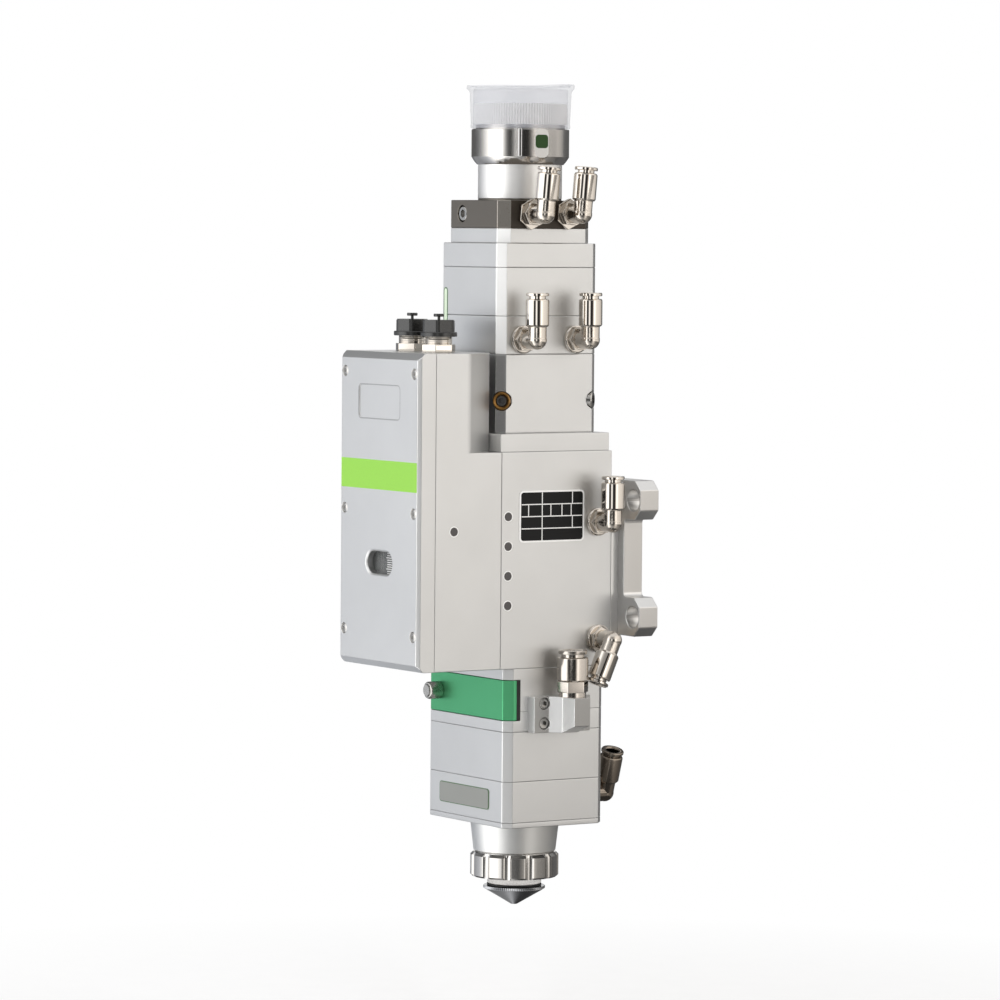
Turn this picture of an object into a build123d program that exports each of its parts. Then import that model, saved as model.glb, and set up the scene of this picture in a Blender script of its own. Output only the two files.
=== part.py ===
from build123d import *
import math
import os

# A fibre laser cutting head with a motor-driven focus, built as its separate pieces.
# Millimetres, +Z up. The origin is the centre of the nozzle's tip, on the beam's axis.
# The motor box faces -Y, most hose fittings are on the +X side and the bracket faces +Y.

os.makedirs("parts", exist_ok=True)

# Fits, used wherever two pieces meet
running_gap = 0.05
sliding_gap = 0.1
loose_gap = 0.3

# Socket of a cap screw: the hexagon's radius and depth as shares of the head
socket_share = 0.27
socket_depth_share = 0.6

# Nozzle
orifice_d = 1.5
orifice_land = 1.5
nozzle_tip_d = 3.1
nozzle_cone_d = 25.2
nozzle_rim_d = 28.0
nozzle_cone_h = 6.6
nozzle_bevel_h = 0.8
nozzle_rim_h = 1.2
nozzle_back_h = 1.12
nozzle_shank_d = 11.0
nozzle_shank_h = 6.3
nozzle_throat_d = 8.0
nozzle_h = nozzle_cone_h + nozzle_bevel_h + nozzle_rim_h + nozzle_back_h

# Ceramic ring and the fluted nut that clamps it
ceramic_skirt_d = 24.6
ceramic_skirt_h = 4.9
ceramic_flange_d = 31.0
ceramic_flange_h = 4.3
nut_d = 40.0
nut_h = 11.1
nut_lip_h = 1.6
nut_flutes = 12
nut_flute_d = 5.0
nut_flute_depth = 1.1
nut_flute_phase = 17.6
nut_top_chamfer = 1.3
nut_bottom_chamfer = 0.8

# Sensor cone above the nut
cone_neck_d = 34.0
cone_neck_h = 5.5
cone_low_d = 37.2
cone_top_d = 40.4
cone_h = 14.5
cone_bore_low_d = 12.0
cone_edge = 0.6

# The square column: one width, with each block's own height
column_w = 67.8
column_d = 52.7
column_corner = 3.5
beam_bore_d = 26.0
base_plate_h = 2.3
sensor_module_h = 18.4
gas_module_h = 22.3
window_module_h = 9.1
drawer_housing_h = 19.2

# Window drawer
drawer_front_h = 18.2
drawer_front_t = 5.35
drawer_front_low = 4.0
drawer_gasket_t = 1.8
drawer_edge = 0.15
tray_w = 39.0
tray_h = 9.7
tray_end_y = 17.0
tray_slot_gap = 0.15
tray_end_gap = 1.0
tray_corner_r = 4.0
window_d = 30.0
window_t = 5.0
window_seal_t = 1.0
drawer_screw_x = -23.2
drawer_screw_rise = 5.5
drawer_screw_head_d = 7.9
drawer_screw_head_h = 7.0
drawer_screw_chamfer = 0.8
drawer_screw_d = 4.0
drawer_screw_depth = 7.2

# Main body with the focusing barrel's bore
body_front_y = -29.87
body_rear_y = 28.6
body_h = 96.5
body_floor = 6.0
barrel_bore_d = 46.0
flange_w = 65.8
flange_rear_y = 27.6
flange_h = 8.0
plug_d = 3.0
plug_t = 1.0
plug_y = -26.3
plug_top_rise = 67.9
plug_pitch = 13.2
plug_count = 4

# Motor box: a shell, closed by a cover
box_depth = 34.43
box_h = 140.3
box_rise = 0.1
box_wall_side = 7.4
box_wall_end = 4.5
box_wall_rear = 4.5
box_flank_run = 16.9
box_flank_in = 10.9
box_flank_round = 5.0
room_corner_r = 11.1
cover_t = 8.8
cover_face_t = 3.5
cover_side_chamfer = 1.5
cover_end_chamfer = 3.0
cover_screw_x = 29.6
cover_screw_rises = (15.6, 69.9, 131.3)
cover_recess_d = 4.8
cover_recess_depth = 1.2
cover_screw_head_d = 4.4
cover_screw_head_t = 0.9
cover_screw_d = 2.6
cover_screw_reach = 10.0
badge_w = 35.2
badge_h = 15.0
badge_rise = 118.2
badge_depth = 0.4
badge_corner = 2.0
slot_w = 23.2
slot_h = 11.6
slot_rise = 46.7
slot_x = 0.6
slot_bevel = 0.8
pane_room = 1.2
side_plug_y = -54.6
side_plug_rise = 61.8

# Focus drive inside the motor box
drive_y = -49.0
screw_d = 6.0
focus_travel = 10.0
motor_w = 28.2
motor_h = 38.0
motor_corner = 2.0
motor_rise = 90.0
drive_plate_t = 4.0
foot_block_h = 6.0
foot_block_w = 48.0
foot_block_d = 16.0
rod_d = 5.0
rod_x = 18.0
nut_block_w = 46.0
nut_block_d = 15.0
nut_block_h = 16.0
arm_w = 16.0
arm_slot_gap = 1.0
barrel_h = 36.0
barrel_rise = 29.8
focus_seat_rise = 14.0
lens_shoulder = 1.5
focus_lens_d = 30.0
focus_lens_edge = 3.0
focus_lens_sag = 1.9
scale_x = 3.0
scale_w = 8.5
scale_t = 1.4
scale_h = 34.0
scale_foot_h = 14.0
scale_face_gap = 1.0

# Cable connectors on the box, with their screw caps
connector_x = 11.35
connector_y = -49.3
connector_hex_af = 16.0
connector_hex_h = 3.6
connector_barrel_d = 12.0
connector_barrel_h = 3.4
connector_neck_d = 9.0
connector_neck_h = 4.9
connector_shank_d = 8.0
cap_flange_d = 16.4
cap_flange_h = 2.0
cap_body_d = 15.1
cap_body_h = 7.4
cap_ribs = 12
cap_rib_depth = 0.7
cap_groove_w = 1.6
cap_knob_stem_d = 1.3
cap_knob_d = 4.75
cap_knob_h = 2.7
cap_knob_head_h = 1.3

# Bracket behind the body
spacer_back_t = 3.8
bracket_t = 10.1
bracket_low = 13.3
bracket_h = 70.0
lug_reach = 51.2
lug_half_h = 8.8
lug_slant = 4.3
waist_reach = 38.4
waist_fillet = 2.0
bracket_hole_d = 9.7
bracket_hole_x = 45.5
back_screw_x = 24.0
back_screw_z = 26.2
back_screw_head_d = 8.5
back_screw_head_t = 5.0
back_screw_d = 5.0
back_screw_reach = 7.0

# Centring block with the collimating lens
upper_w = 51.5
upper_d = 52.74
upper_corner = 3.5
centring_block_h = 35.1
centring_cavity_d = 42.0
centring_floor = 7.3
centring_screw_rise = 14.4
centring_screw_d = 4.0
centring_travel = 0.6
centring_head_d = 5.0
centring_head_t = 2.4
centring_notch_d = 8.5
centring_notch_depth = 2.2
centring_rear_head_d = 7.9
stage_d = 38.0
stage_t = 4.0
cell_d = 35.0
cell_h = 10.0
cell_floor = 3.0
colli_lens_d = 25.0
colli_lens_edge = 3.0
colli_lens_sag = 1.6

# Collimator blocks and the fibre end
colli_lower_h = 17.0
colli_middle_h = 21.6
colli_upper_h = 10.8
head_w = 47.8
head_d = 48.6
head_corner = 4.5
spacer_h = 6.6
cooling_plate_h = 12.5
plate_screw_x = -10.1
plate_screw_rise = 6.4
plate_screw_recess_d = 7.4
plate_screw_recess = 4.2
plate_screw_head_d = 6.8
plate_screw_head_t = 3.8
plate_screw_d = 3.9
plate_screw_reach = 5.0
foot_ring_h = 1.6
foot_ring_d = 39.6
neck_d = 37.8
neck_h = 14.4
socket_d = 24.0
socket_wall = 3.0
socket_floor = 5.0
socket_top = 26.0
sleeve_low_d = 39.0
sleeve_d = 44.0
sleeve_taper_h = 3.3
sleeve_h = 15.9
grip_groove_d = 40.0
grip_groove_h = 2.0
grip_d = 42.0
grip_h = 9.4
dust_cap_d = 45.9
dust_cap_wall = 1.5
dust_cap_h = 17.4
dust_brim_d = 48.6
dust_brim_h = 2.7
dust_flare_h = 1.2
dust_cap_top_t = 1.2

# Gas block and its straight fitting on the +X side
gas_low = 22.1
gas_h = 16.1
gas_flange_t = 5.3
gas_flange_front_y = -15.1
gas_flange_rear_y = 14.5
gas_slant_y = -7.5
gas_nose_front_y = -3.1
gas_nose_rear_y = 5.2
gas_ridge = 9.8
gas_nose = 19.6
gas_nose_chamfer_h = 3.6
gas_screw_y = -9.7
gas_screw_rises = (4.1, 12.9)
gas_screw_recess_d = 5.4
gas_screw_recess = 2.6
gas_screw_head_d = 4.7
gas_screw_head_t = 2.2
gas_screw_d = 2.5
gas_screw_reach = 5.0
gas_port_out = 11.6
gas_port_y = 0.9
gas_collar_d = 12.6
gas_collar_h = 2.2
gas_hex_af = 12.6
gas_hex_h = 5.0
gas_sleeve_d = 14.0
gas_sleeve_h = 10.6
gas_stub_d = 5.0
gas_stub_h = 6.0
gas_passage_d = 3.0
gas_seat_low = 4.0
gas_ring_low = 10.8
gas_tube_d = 8.0
gas_ring_travel = 1.2
gas_ring_flange_d = 12.8
gas_ring_flange_h = 1.8
gas_ring_wall = 1.05

# Push-in elbows: one size, seven places
tube_d = 6.0
tube_gap = 0.05
elbow_base_d = 12.5
elbow_base_t = 2.2
elbow_hub_d = 10.6
elbow_hub_h = 2.9
elbow_stub_d = 4.8
elbow_stub_h = 4.5
elbow_spigot_d = 6.0
elbow_spigot_h = 3.0
elbow_standoff = 12.5
elbow_barrel_d = 8.4
elbow_sleeve_d = 10.5
elbow_sleeve_low = 6.0
elbow_sleeve_h = 12.3
elbow_seat_low = 7.0
elbow_ring_low = 12.4
elbow_passage_d = 3.6
elbow_ring_travel = 1.0
elbow_ring_flange_d = 10.3
elbow_ring_flange_h = 1.5
elbow_ring_wall = 0.65
elbow_edge = 0.5
ring_mouth = 0.45

# Where the elbows sit on their walls, and how far their tubes lean from upright, in degrees
head_front_y = -9.7
head_front_rise = 6.3
head_rear_y = 10.0
head_rear_rise = 6.5
head_elbow_tilt = 5.0
colli_front_y = -14.65
colli_rear_y = 13.5
colli_elbow_rise = 6.6
body_upper_y = 20.95
body_upper_rise = 64.6
body_lower_y = 21.45
body_lower_rise = 12.2
body_lower_tilt = 203.5
sensor_elbow_x = 14.8
sensor_elbow_rise = 9.0
sensor_elbow_tilt = 18.0

# Levels along the beam's axis, each piece on top of the last
ceramic_z = nozzle_h
ceramic_flange_z = ceramic_z + ceramic_skirt_h
nut_z = ceramic_flange_z - nut_lip_h
neck_z = ceramic_flange_z + ceramic_flange_h
cone_z = neck_z + cone_neck_h
base_z = cone_z + cone_h
sensor_z = base_z + base_plate_h
gas_z = sensor_z + sensor_module_h
window_z = gas_z + gas_module_h
housing_z = window_z + window_module_h
body_z = housing_z + drawer_housing_h
flange_z = body_z + body_h
centring_z = flange_z + flange_h
colli_z = centring_z + centring_block_h
colli_middle_z = colli_z + colli_lower_h
colli_upper_z = colli_middle_z + colli_middle_h
spacer_z = colli_upper_z + colli_upper_h
plate_z = spacer_z + spacer_h
foot_ring_z = plate_z + cooling_plate_h
socket_z = foot_ring_z + foot_ring_h
sleeve_z = socket_z + neck_h
grip_z = sleeve_z + sleeve_h + grip_groove_h
box_z = body_z + box_rise
bracket_z = body_z + bracket_low
side_x = column_w / 2
upper_side_x = upper_w / 2
head_side_x = head_w / 2


def save(piece, label):
    """Names a finished piece and writes it."""
    piece.label = label
    export_step(piece, f"parts/{label}.step")


def column_block(bottom, height, width, depth, corner, bore):
    """A block of the column: upright corners chamfered, the beam's bore through it."""
    with BuildPart() as block:
        with BuildSketch(Plane.XY.offset(bottom)) as outline:
            Rectangle(width, depth)
            chamfer(outline.vertices(), length=corner)
            Circle(bore / 2, mode=Mode.SUBTRACT)
        extrude(amount=height)
    return block.part


def tube(bottom, height, outer, bore):
    """A plain ring about the beam's axis."""
    with BuildPart() as made:
        with BuildSketch(Plane.XY.offset(bottom)):
            Circle(outer / 2)
            Circle(bore / 2, mode=Mode.SUBTRACT)
        extrude(amount=height)
    return made.part


def lens(seat, diameter, edge, sag):
    """A lens that lies on its flat face, with a spherical face on top."""
    radius = diameter / 2
    curve = (radius**2 + sag**2) / (2 * sag)
    half_way = math.asin(radius / curve) / 2
    top = seat + edge + sag
    with BuildPart() as made:
        with BuildSketch(Plane.XZ):
            with BuildLine():
                Polyline((0, top), (0, seat), (radius, seat), (radius, seat + edge))
                ThreePointArc(
                    (radius, seat + edge),
                    (curve * math.sin(half_way), top - curve + curve * math.cos(half_way)),
                    (0, top),
                )
            make_face()
        revolve(axis=Axis.Z)
    return made.part


def cap_screw(face, head_d, head_t, shank_d, reach):
    """A socket screw: its head stands out of the face plane, its shank goes in."""
    with BuildPart() as screw:
        with BuildSketch(face):
            Circle(head_d / 2)
        extrude(amount=head_t)
        with BuildSketch(face):
            Circle(shank_d / 2)
        extrude(amount=-reach)
        with BuildSketch(face.offset(head_t)):
            RegularPolygon(head_d * socket_share, 6)
        extrude(amount=-head_t * socket_depth_share, mode=Mode.SUBTRACT)
    return screw.part


# Nozzle: cone, knurled rim and threaded shank, with a passage that narrows to the orifice
with BuildPart() as nozzle:
    with BuildSketch(Plane.XZ):
        with BuildLine():
            Polyline(
                (orifice_d / 2, 0),
                (nozzle_tip_d / 2, 0),
                (nozzle_cone_d / 2, nozzle_cone_h),
                (nozzle_rim_d / 2, nozzle_cone_h + nozzle_bevel_h),
                (nozzle_rim_d / 2, nozzle_cone_h + nozzle_bevel_h + nozzle_rim_h),
                (nozzle_cone_d / 2, nozzle_h),
                (nozzle_shank_d / 2, nozzle_h),
                (nozzle_shank_d / 2, nozzle_h + nozzle_shank_h),
                (nozzle_throat_d / 2, nozzle_h + nozzle_shank_h),
                (nozzle_throat_d / 2, nozzle_h),
                (orifice_d / 2, orifice_land),
                close=True,
            )
        make_face()
    revolve(axis=Axis.Z)
save(nozzle.part, "nozzle")

with BuildPart() as ceramic_ring:
    with BuildSketch(Plane.XY.offset(ceramic_z)):
        Circle(ceramic_skirt_d / 2)
    extrude(amount=ceramic_skirt_h)
    with BuildSketch(Plane.XY.offset(ceramic_flange_z)):
        Circle(ceramic_flange_d / 2)
    extrude(amount=ceramic_flange_h)
    with BuildSketch(Plane.XY.offset(ceramic_z)):
        Circle(nozzle_shank_d / 2 + running_gap)
    extrude(amount=ceramic_skirt_h + ceramic_flange_h, mode=Mode.SUBTRACT)
save(ceramic_ring.part, "ceramic_ring")

# Lock nut: a lip under the ceramic's flange, a thread bore on the cone's neck, round flutes
with BuildPart() as lock_nut:
    with BuildSketch(Plane.XY.offset(nut_z)):
        Circle(nut_d / 2)
    extrude(amount=nut_h)
    chamfer(lock_nut.edges().group_by(Axis.Z)[-1], length=nut_top_chamfer)
    chamfer(lock_nut.edges().group_by(Axis.Z)[0], length=nut_bottom_chamfer)
    with BuildSketch(Plane.XY.offset(nut_z)):
        with PolarLocations((nut_d + nut_flute_d) / 2 - nut_flute_depth, nut_flutes, nut_flute_phase):
            Circle(nut_flute_d / 2)
    extrude(amount=nut_h, mode=Mode.SUBTRACT)
    with BuildSketch(Plane.XY.offset(nut_z)):
        Circle(ceramic_skirt_d / 2 + loose_gap)
    extrude(amount=nut_lip_h, mode=Mode.SUBTRACT)
    with BuildSketch(Plane.XY.offset(nut_z + nut_lip_h)):
        Circle(cone_neck_d / 2 + running_gap)
    extrude(amount=nut_h - nut_lip_h, mode=Mode.SUBTRACT)
save(lock_nut.part, "lock_nut")

# Sensor cone: the neck carries the nut, the body widens to the base plate
with BuildPart() as sensor_cone:
    with BuildSketch(Plane.XZ):
        with BuildLine():
            Polyline(
                (cone_bore_low_d / 2, neck_z),
                (cone_neck_d / 2, neck_z),
                (cone_neck_d / 2, cone_z),
                (cone_low_d / 2 - cone_edge, cone_z),
                (cone_low_d / 2, cone_z + cone_edge),
                (cone_top_d / 2, base_z),
                (beam_bore_d / 2, base_z),
                close=True,
            )
        make_face()
    revolve(axis=Axis.Z)
save(sensor_cone.part, "sensor_cone")

save(column_block(base_z, base_plate_h, column_w, column_d, column_corner, beam_bore_d), "base_plate")

# Window drawer: the rebate for its front runs through the two blocks behind it
front_face_y = -column_d / 2
front_back_y = front_face_y + drawer_front_t
rebate_y = front_back_y + drawer_gasket_t
rebate_z = housing_z - drawer_front_low
tray_z = housing_z + tray_slot_gap
window_seat_z = tray_z + tray_h - window_seal_t - window_t
drawer_screw_z = housing_z + drawer_screw_rise


def rebated_block(bottom, height):
    """A column block whose front is cut back where the drawer's front stands."""
    with BuildPart() as block:
        add(column_block(bottom, height, column_w, column_d, column_corner, beam_bore_d))
        with BuildSketch(Plane.XY.offset(rebate_z)):
            with Locations((0, (front_face_y + rebate_y) / 2)):
                Rectangle(column_w, rebate_y - front_face_y)
        extrude(amount=drawer_front_h, mode=Mode.SUBTRACT)
    return block.part


def side_seat(x, y, z, tilt):
    """An elbow's seat on the +X side. The tube leaves upwards, leaning to the rear by the tilt."""
    turn = math.radians(tilt)
    return Plane(origin=(x, y, z), x_dir=(0, math.sin(turn), math.cos(turn)), z_dir=(1, 0, 0))


sensor_turn = math.radians(sensor_elbow_tilt)
elbow_seats = {
    "head_front": side_seat(head_side_x, head_front_y, plate_z + head_front_rise, head_elbow_tilt),
    "head_rear": side_seat(head_side_x, head_rear_y, plate_z + head_rear_rise, head_elbow_tilt),
    "collimator_front": side_seat(upper_side_x, colli_front_y, colli_z + colli_elbow_rise, 0),
    "collimator_rear": side_seat(upper_side_x, colli_rear_y, colli_z + colli_elbow_rise, 0),
    "body_upper": side_seat(side_x, body_upper_y, body_z + body_upper_rise, 0),
    "body_lower": side_seat(side_x, body_lower_y, body_z + body_lower_rise, body_lower_tilt),
    "sensor_rear": Plane(
        origin=(sensor_elbow_x, column_d / 2, sensor_z + sensor_elbow_rise),
        x_dir=(math.sin(sensor_turn), 0, math.cos(sensor_turn)),
        z_dir=(0, 1, 0),
    ),
}


def drilled(block, seat_names):
    """The block with a blind hole for each elbow's threaded stub."""
    with BuildPart() as made:
        add(block)
        for name in seat_names:
            with BuildSketch(elbow_seats[name]):
                Circle(elbow_stub_d / 2 + running_gap)
            extrude(amount=-(elbow_stub_h + loose_gap), mode=Mode.SUBTRACT)
    return made.part


sensor_block = column_block(sensor_z, sensor_module_h, column_w, column_d, column_corner, beam_bore_d)
save(drilled(sensor_block, ["sensor_rear"]), "sensor_module")

# The gas block screws to the side of the gas and window modules
gas_block_z = gas_z + gas_low
gas_screw_places = [(gas_screw_y, gas_block_z + rise) for rise in gas_screw_rises]


def side_drilled(block):
    """The block with the holes that the gas block's screws go into."""
    with BuildPart() as made:
        add(block)
        with BuildSketch(Plane.YZ.offset(side_x)):
            with Locations(*gas_screw_places):
                Circle(gas_screw_d / 2)
        extrude(amount=-(gas_screw_reach + loose_gap), mode=Mode.SUBTRACT)
    return made.part


save(
    column_block(gas_z, gas_module_h, column_w, column_d, column_corner, beam_bore_d),
    "gas_module",
)
save(side_drilled(rebated_block(window_z, window_module_h)), "window_module")

with BuildPart() as drawer_housing:
    add(side_drilled(rebated_block(housing_z, drawer_housing_h)))
    with BuildSketch(Plane.XY.offset(housing_z)):
        with Locations((0, (rebate_y + tray_end_y + tray_end_gap) / 2)):
            Rectangle(tray_w + 2 * tray_slot_gap, tray_end_y + tray_end_gap - rebate_y)
    extrude(amount=tray_h + 2 * tray_slot_gap, mode=Mode.SUBTRACT)
    with BuildSketch(Plane.XZ.offset(-rebate_y)):
        with Locations((drawer_screw_x, drawer_screw_z)):
            Circle(drawer_screw_d / 2 + running_gap)
    extrude(amount=-(drawer_screw_depth + loose_gap), mode=Mode.SUBTRACT)
save(drawer_housing.part, "drawer_housing")

# Drawer front and tray in one piece, with the window's seat and the screw's hole
with BuildPart() as window_drawer:
    with BuildSketch(Plane.XY.offset(rebate_z + drawer_edge)) as front_section:
        Rectangle(column_w, column_d)
        chamfer(front_section.vertices(), length=column_corner)
        with Locations((0, front_back_y + column_d / 2)):
            Rectangle(column_w, column_d, mode=Mode.SUBTRACT)
    extrude(amount=drawer_front_h - 2 * drawer_edge)
    with BuildSketch(Plane.XY.offset(tray_z)):
        with Locations((0, (front_back_y + tray_end_y) / 2)):
            Rectangle(tray_w, tray_end_y - front_back_y)
    extrude(amount=tray_h)
    fillet(window_drawer.edges().filter_by(Axis.Z).group_by(Axis.Y)[-1], radius=tray_corner_r)
    with BuildSketch(Plane.XY.offset(tray_z)):
        Circle(beam_bore_d / 2)
    extrude(amount=tray_h, mode=Mode.SUBTRACT)
    with BuildSketch(Plane.XY.offset(window_seat_z)):
        Circle(window_d / 2 + sliding_gap)
    extrude(amount=window_t + window_seal_t, mode=Mode.SUBTRACT)
    with BuildSketch(Plane.XZ.offset(-front_face_y)):
        with Locations((drawer_screw_x, drawer_screw_z)):
            Circle(drawer_screw_d / 2 + running_gap)
    extrude(amount=-drawer_front_t, mode=Mode.SUBTRACT)
save(window_drawer.part, "window_drawer")

with BuildPart() as drawer_gasket:
    with BuildSketch(Plane.XZ.offset(-front_back_y)):
        with Locations((0, rebate_z + drawer_front_h / 2)):
            Rectangle(column_w, drawer_front_h - 2 * drawer_edge)
        with Locations((0, tray_z + tray_h / 2)):
            Rectangle(tray_w, tray_h, mode=Mode.SUBTRACT)
        with Locations((drawer_screw_x, drawer_screw_z)):
            Circle(drawer_screw_d / 2 + running_gap, mode=Mode.SUBTRACT)
    extrude(amount=-drawer_gasket_t)
save(drawer_gasket.part, "drawer_gasket")

with BuildPart() as protective_window:
    with BuildSketch(Plane.XY.offset(window_seat_z)):
        Circle(window_d / 2)
    extrude(amount=window_t)
save(protective_window.part, "protective_window")

with BuildPart() as drawer_screw:
    with BuildSketch(Plane.XZ.offset(-front_face_y)):
        with Locations((drawer_screw_x, drawer_screw_z)):
            Circle(drawer_screw_head_d / 2)
    extrude(amount=drawer_screw_head_h)
    chamfer(drawer_screw.edges().group_by(Axis.Y)[0], length=drawer_screw_chamfer)
    with BuildSketch(Plane.XZ.offset(-front_face_y)):
        with Locations((drawer_screw_x, drawer_screw_z)):
            Circle(drawer_screw_d / 2)
    extrude(amount=-(drawer_front_t + drawer_gasket_t + drawer_screw_depth))
save(drawer_screw.part, "drawer_screw")

# Gas block: a flange, two slants and a nose, drawn in plan
gas_flange_x = side_x + gas_flange_t
gas_ridge_x = side_x + gas_ridge
gas_nose_x = side_x + gas_nose
gas_top_z = gas_block_z + gas_h
with BuildPart() as gas_block:
    with BuildSketch(Plane.XY.offset(gas_block_z)):
        with BuildLine():
            Polyline(
                (side_x, gas_flange_front_y),
                (gas_flange_x, gas_flange_front_y),
                (gas_flange_x, gas_slant_y),
                (gas_ridge_x, gas_nose_front_y),
                (gas_nose_x, gas_nose_front_y),
                (gas_nose_x, gas_nose_rear_y),
                (gas_ridge_x, gas_nose_rear_y),
                (gas_flange_x, gas_nose_rear_y + gas_nose_front_y - gas_slant_y),
                (gas_flange_x, gas_flange_rear_y),
                (side_x, gas_flange_rear_y),
                close=True,
            )
        make_face()
    extrude(amount=gas_h)
    with BuildSketch(Plane.XZ.offset(-gas_nose_front_y)):
        with BuildLine():
            Polyline(
                (gas_ridge_x, gas_block_z),
                (gas_nose_x, gas_block_z),
                (gas_nose_x, gas_block_z + gas_nose_chamfer_h),
                close=True,
            )
        make_face()
    extrude(amount=-(gas_nose_rear_y - gas_nose_front_y), mode=Mode.SUBTRACT)
    with BuildSketch(Plane.YZ.offset(gas_flange_x)):
        with Locations(*gas_screw_places):
            Circle(gas_screw_recess_d / 2)
    extrude(amount=-gas_screw_recess, mode=Mode.SUBTRACT)
    with BuildSketch(Plane.YZ.offset(gas_flange_x)):
        with Locations(*gas_screw_places):
            Circle(gas_screw_recess_d / 2)
    extrude(amount=gas_ridge, mode=Mode.SUBTRACT)
    with BuildSketch(Plane.YZ.offset(side_x)):
        with Locations(*gas_screw_places):
            Circle(gas_screw_d / 2)
    extrude(amount=gas_flange_t, mode=Mode.SUBTRACT)
    with BuildSketch(Plane.XY.offset(gas_top_z)):
        with Locations((side_x + gas_port_out, gas_port_y)):
            Circle(gas_stub_d / 2 + running_gap)
    extrude(amount=-(gas_stub_h + loose_gap), mode=Mode.SUBTRACT)
save(gas_block.part, "gas_block")

gas_screws = [
    cap_screw(
        Plane(origin=(gas_flange_x - gas_screw_recess, y, z), z_dir=(1, 0, 0)),
        gas_screw_head_d,
        gas_screw_head_t,
        gas_screw_d,
        gas_flange_t - gas_screw_recess + gas_screw_reach,
    )
    for y, z in gas_screw_places
]

# Straight push-in fitting on the gas block, with its release ring
gas_port = Plane(origin=(side_x + gas_port_out, gas_port_y, gas_top_z))
gas_hex_low = gas_collar_h
gas_sleeve_low = gas_collar_h + gas_hex_h
gas_sleeve_top = gas_sleeve_low + gas_sleeve_h
gas_ring_bore_r = gas_tube_d / 2 + 2 * tube_gap
gas_ring_neck_r = gas_ring_bore_r + gas_ring_wall
with BuildPart() as gas_fitting:
    with BuildSketch(gas_port.offset(gas_sleeve_low)):
        Circle(gas_sleeve_d / 2)
    extrude(amount=gas_sleeve_h)
    chamfer(gas_fitting.edges().filter_by(GeomType.CIRCLE), length=elbow_edge)
    with BuildSketch(gas_port):
        Circle(gas_collar_d / 2)
    extrude(amount=gas_collar_h)
    with BuildSketch(gas_port.offset(gas_hex_low)):
        RegularPolygon(gas_hex_af / 2, 6, major_radius=False)
    extrude(amount=gas_hex_h)
    with BuildSketch(gas_port):
        Circle(gas_stub_d / 2)
    extrude(amount=-gas_stub_h)
    with BuildSketch(gas_port.offset(-gas_stub_h)):
        Circle(gas_passage_d / 2)
    extrude(amount=gas_stub_h + gas_seat_low, mode=Mode.SUBTRACT)
    with BuildSketch(gas_port.offset(gas_seat_low)):
        Circle(gas_tube_d / 2 + tube_gap)
    extrude(amount=gas_ring_low - gas_seat_low, mode=Mode.SUBTRACT)
    with BuildSketch(gas_port.offset(gas_ring_low)):
        Circle(gas_ring_neck_r + sliding_gap)
    extrude(amount=gas_sleeve_top - gas_ring_low, mode=Mode.SUBTRACT)
save(gas_fitting.part, "gas_fitting")


def release_ring(port, low, top, travel, neck_r, bore_r, flange_r, flange_h, mouth):
    """A push-in fitting's ring: a neck inside the sleeve and a flange that the finger presses."""
    flange_low = top + travel + 2 * sliding_gap
    with BuildPart() as made:
        with BuildSketch(port.offset(low + travel + loose_gap)):
            Circle(neck_r)
            Circle(bore_r, mode=Mode.SUBTRACT)
        extrude(amount=flange_low - low - travel - loose_gap)
        with BuildSketch(port.offset(flange_low)):
            Circle(flange_r)
            Circle(bore_r, mode=Mode.SUBTRACT)
        extrude(amount=flange_h)
        rims = made.edges().filter_by(GeomType.CIRCLE).group_by(SortBy.RADIUS)[0]
        outer_rim = rims.sort_by(lambda rim: (rim.arc_center - port.origin).dot(port.z_dir))[-1]
        chamfer(outer_rim, length=mouth)
    return made.part


gas_ring = release_ring(
    gas_port,
    gas_ring_low,
    gas_sleeve_top,
    gas_ring_travel,
    gas_ring_neck_r,
    gas_ring_bore_r,
    gas_ring_flange_d / 2,
    gas_ring_flange_h,
    ring_mouth,
)
save(gas_ring, "gas_fitting_ring")

# Push-in elbows: a screwed-in stem, a body that swivels on it and a release ring
elbow_body_low = elbow_base_t + elbow_hub_h
elbow_sleeve_top = elbow_sleeve_low + elbow_sleeve_h
elbow_ring_bore_r = tube_d / 2 + 2 * tube_gap
elbow_ring_neck_r = elbow_ring_bore_r + elbow_ring_wall


def elbow_stem(seat, six_sided):
    """The base against the wall, the stub in it and the spigot that the body turns on."""
    with BuildPart() as stem:
        with BuildSketch(seat):
            if six_sided:
                RegularPolygon(elbow_base_d / 2, 6, major_radius=False)
            else:
                Circle(elbow_base_d / 2)
        extrude(amount=elbow_base_t)
        with BuildSketch(seat.offset(elbow_base_t)):
            Circle(elbow_hub_d / 2)
        extrude(amount=elbow_hub_h)
        with BuildSketch(seat.offset(elbow_body_low)):
            Circle(elbow_spigot_d / 2)
        extrude(amount=elbow_spigot_h)
        with BuildSketch(seat):
            Circle(elbow_stub_d / 2)
        extrude(amount=-elbow_stub_h)
    return stem.part


def elbow_port(seat):
    """The plane where the tube's axis meets the stem's, facing the way that the tube leaves."""
    return Plane(origin=seat.origin + seat.z_dir * elbow_standoff, x_dir=seat.z_dir, z_dir=seat.x_dir)


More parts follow.
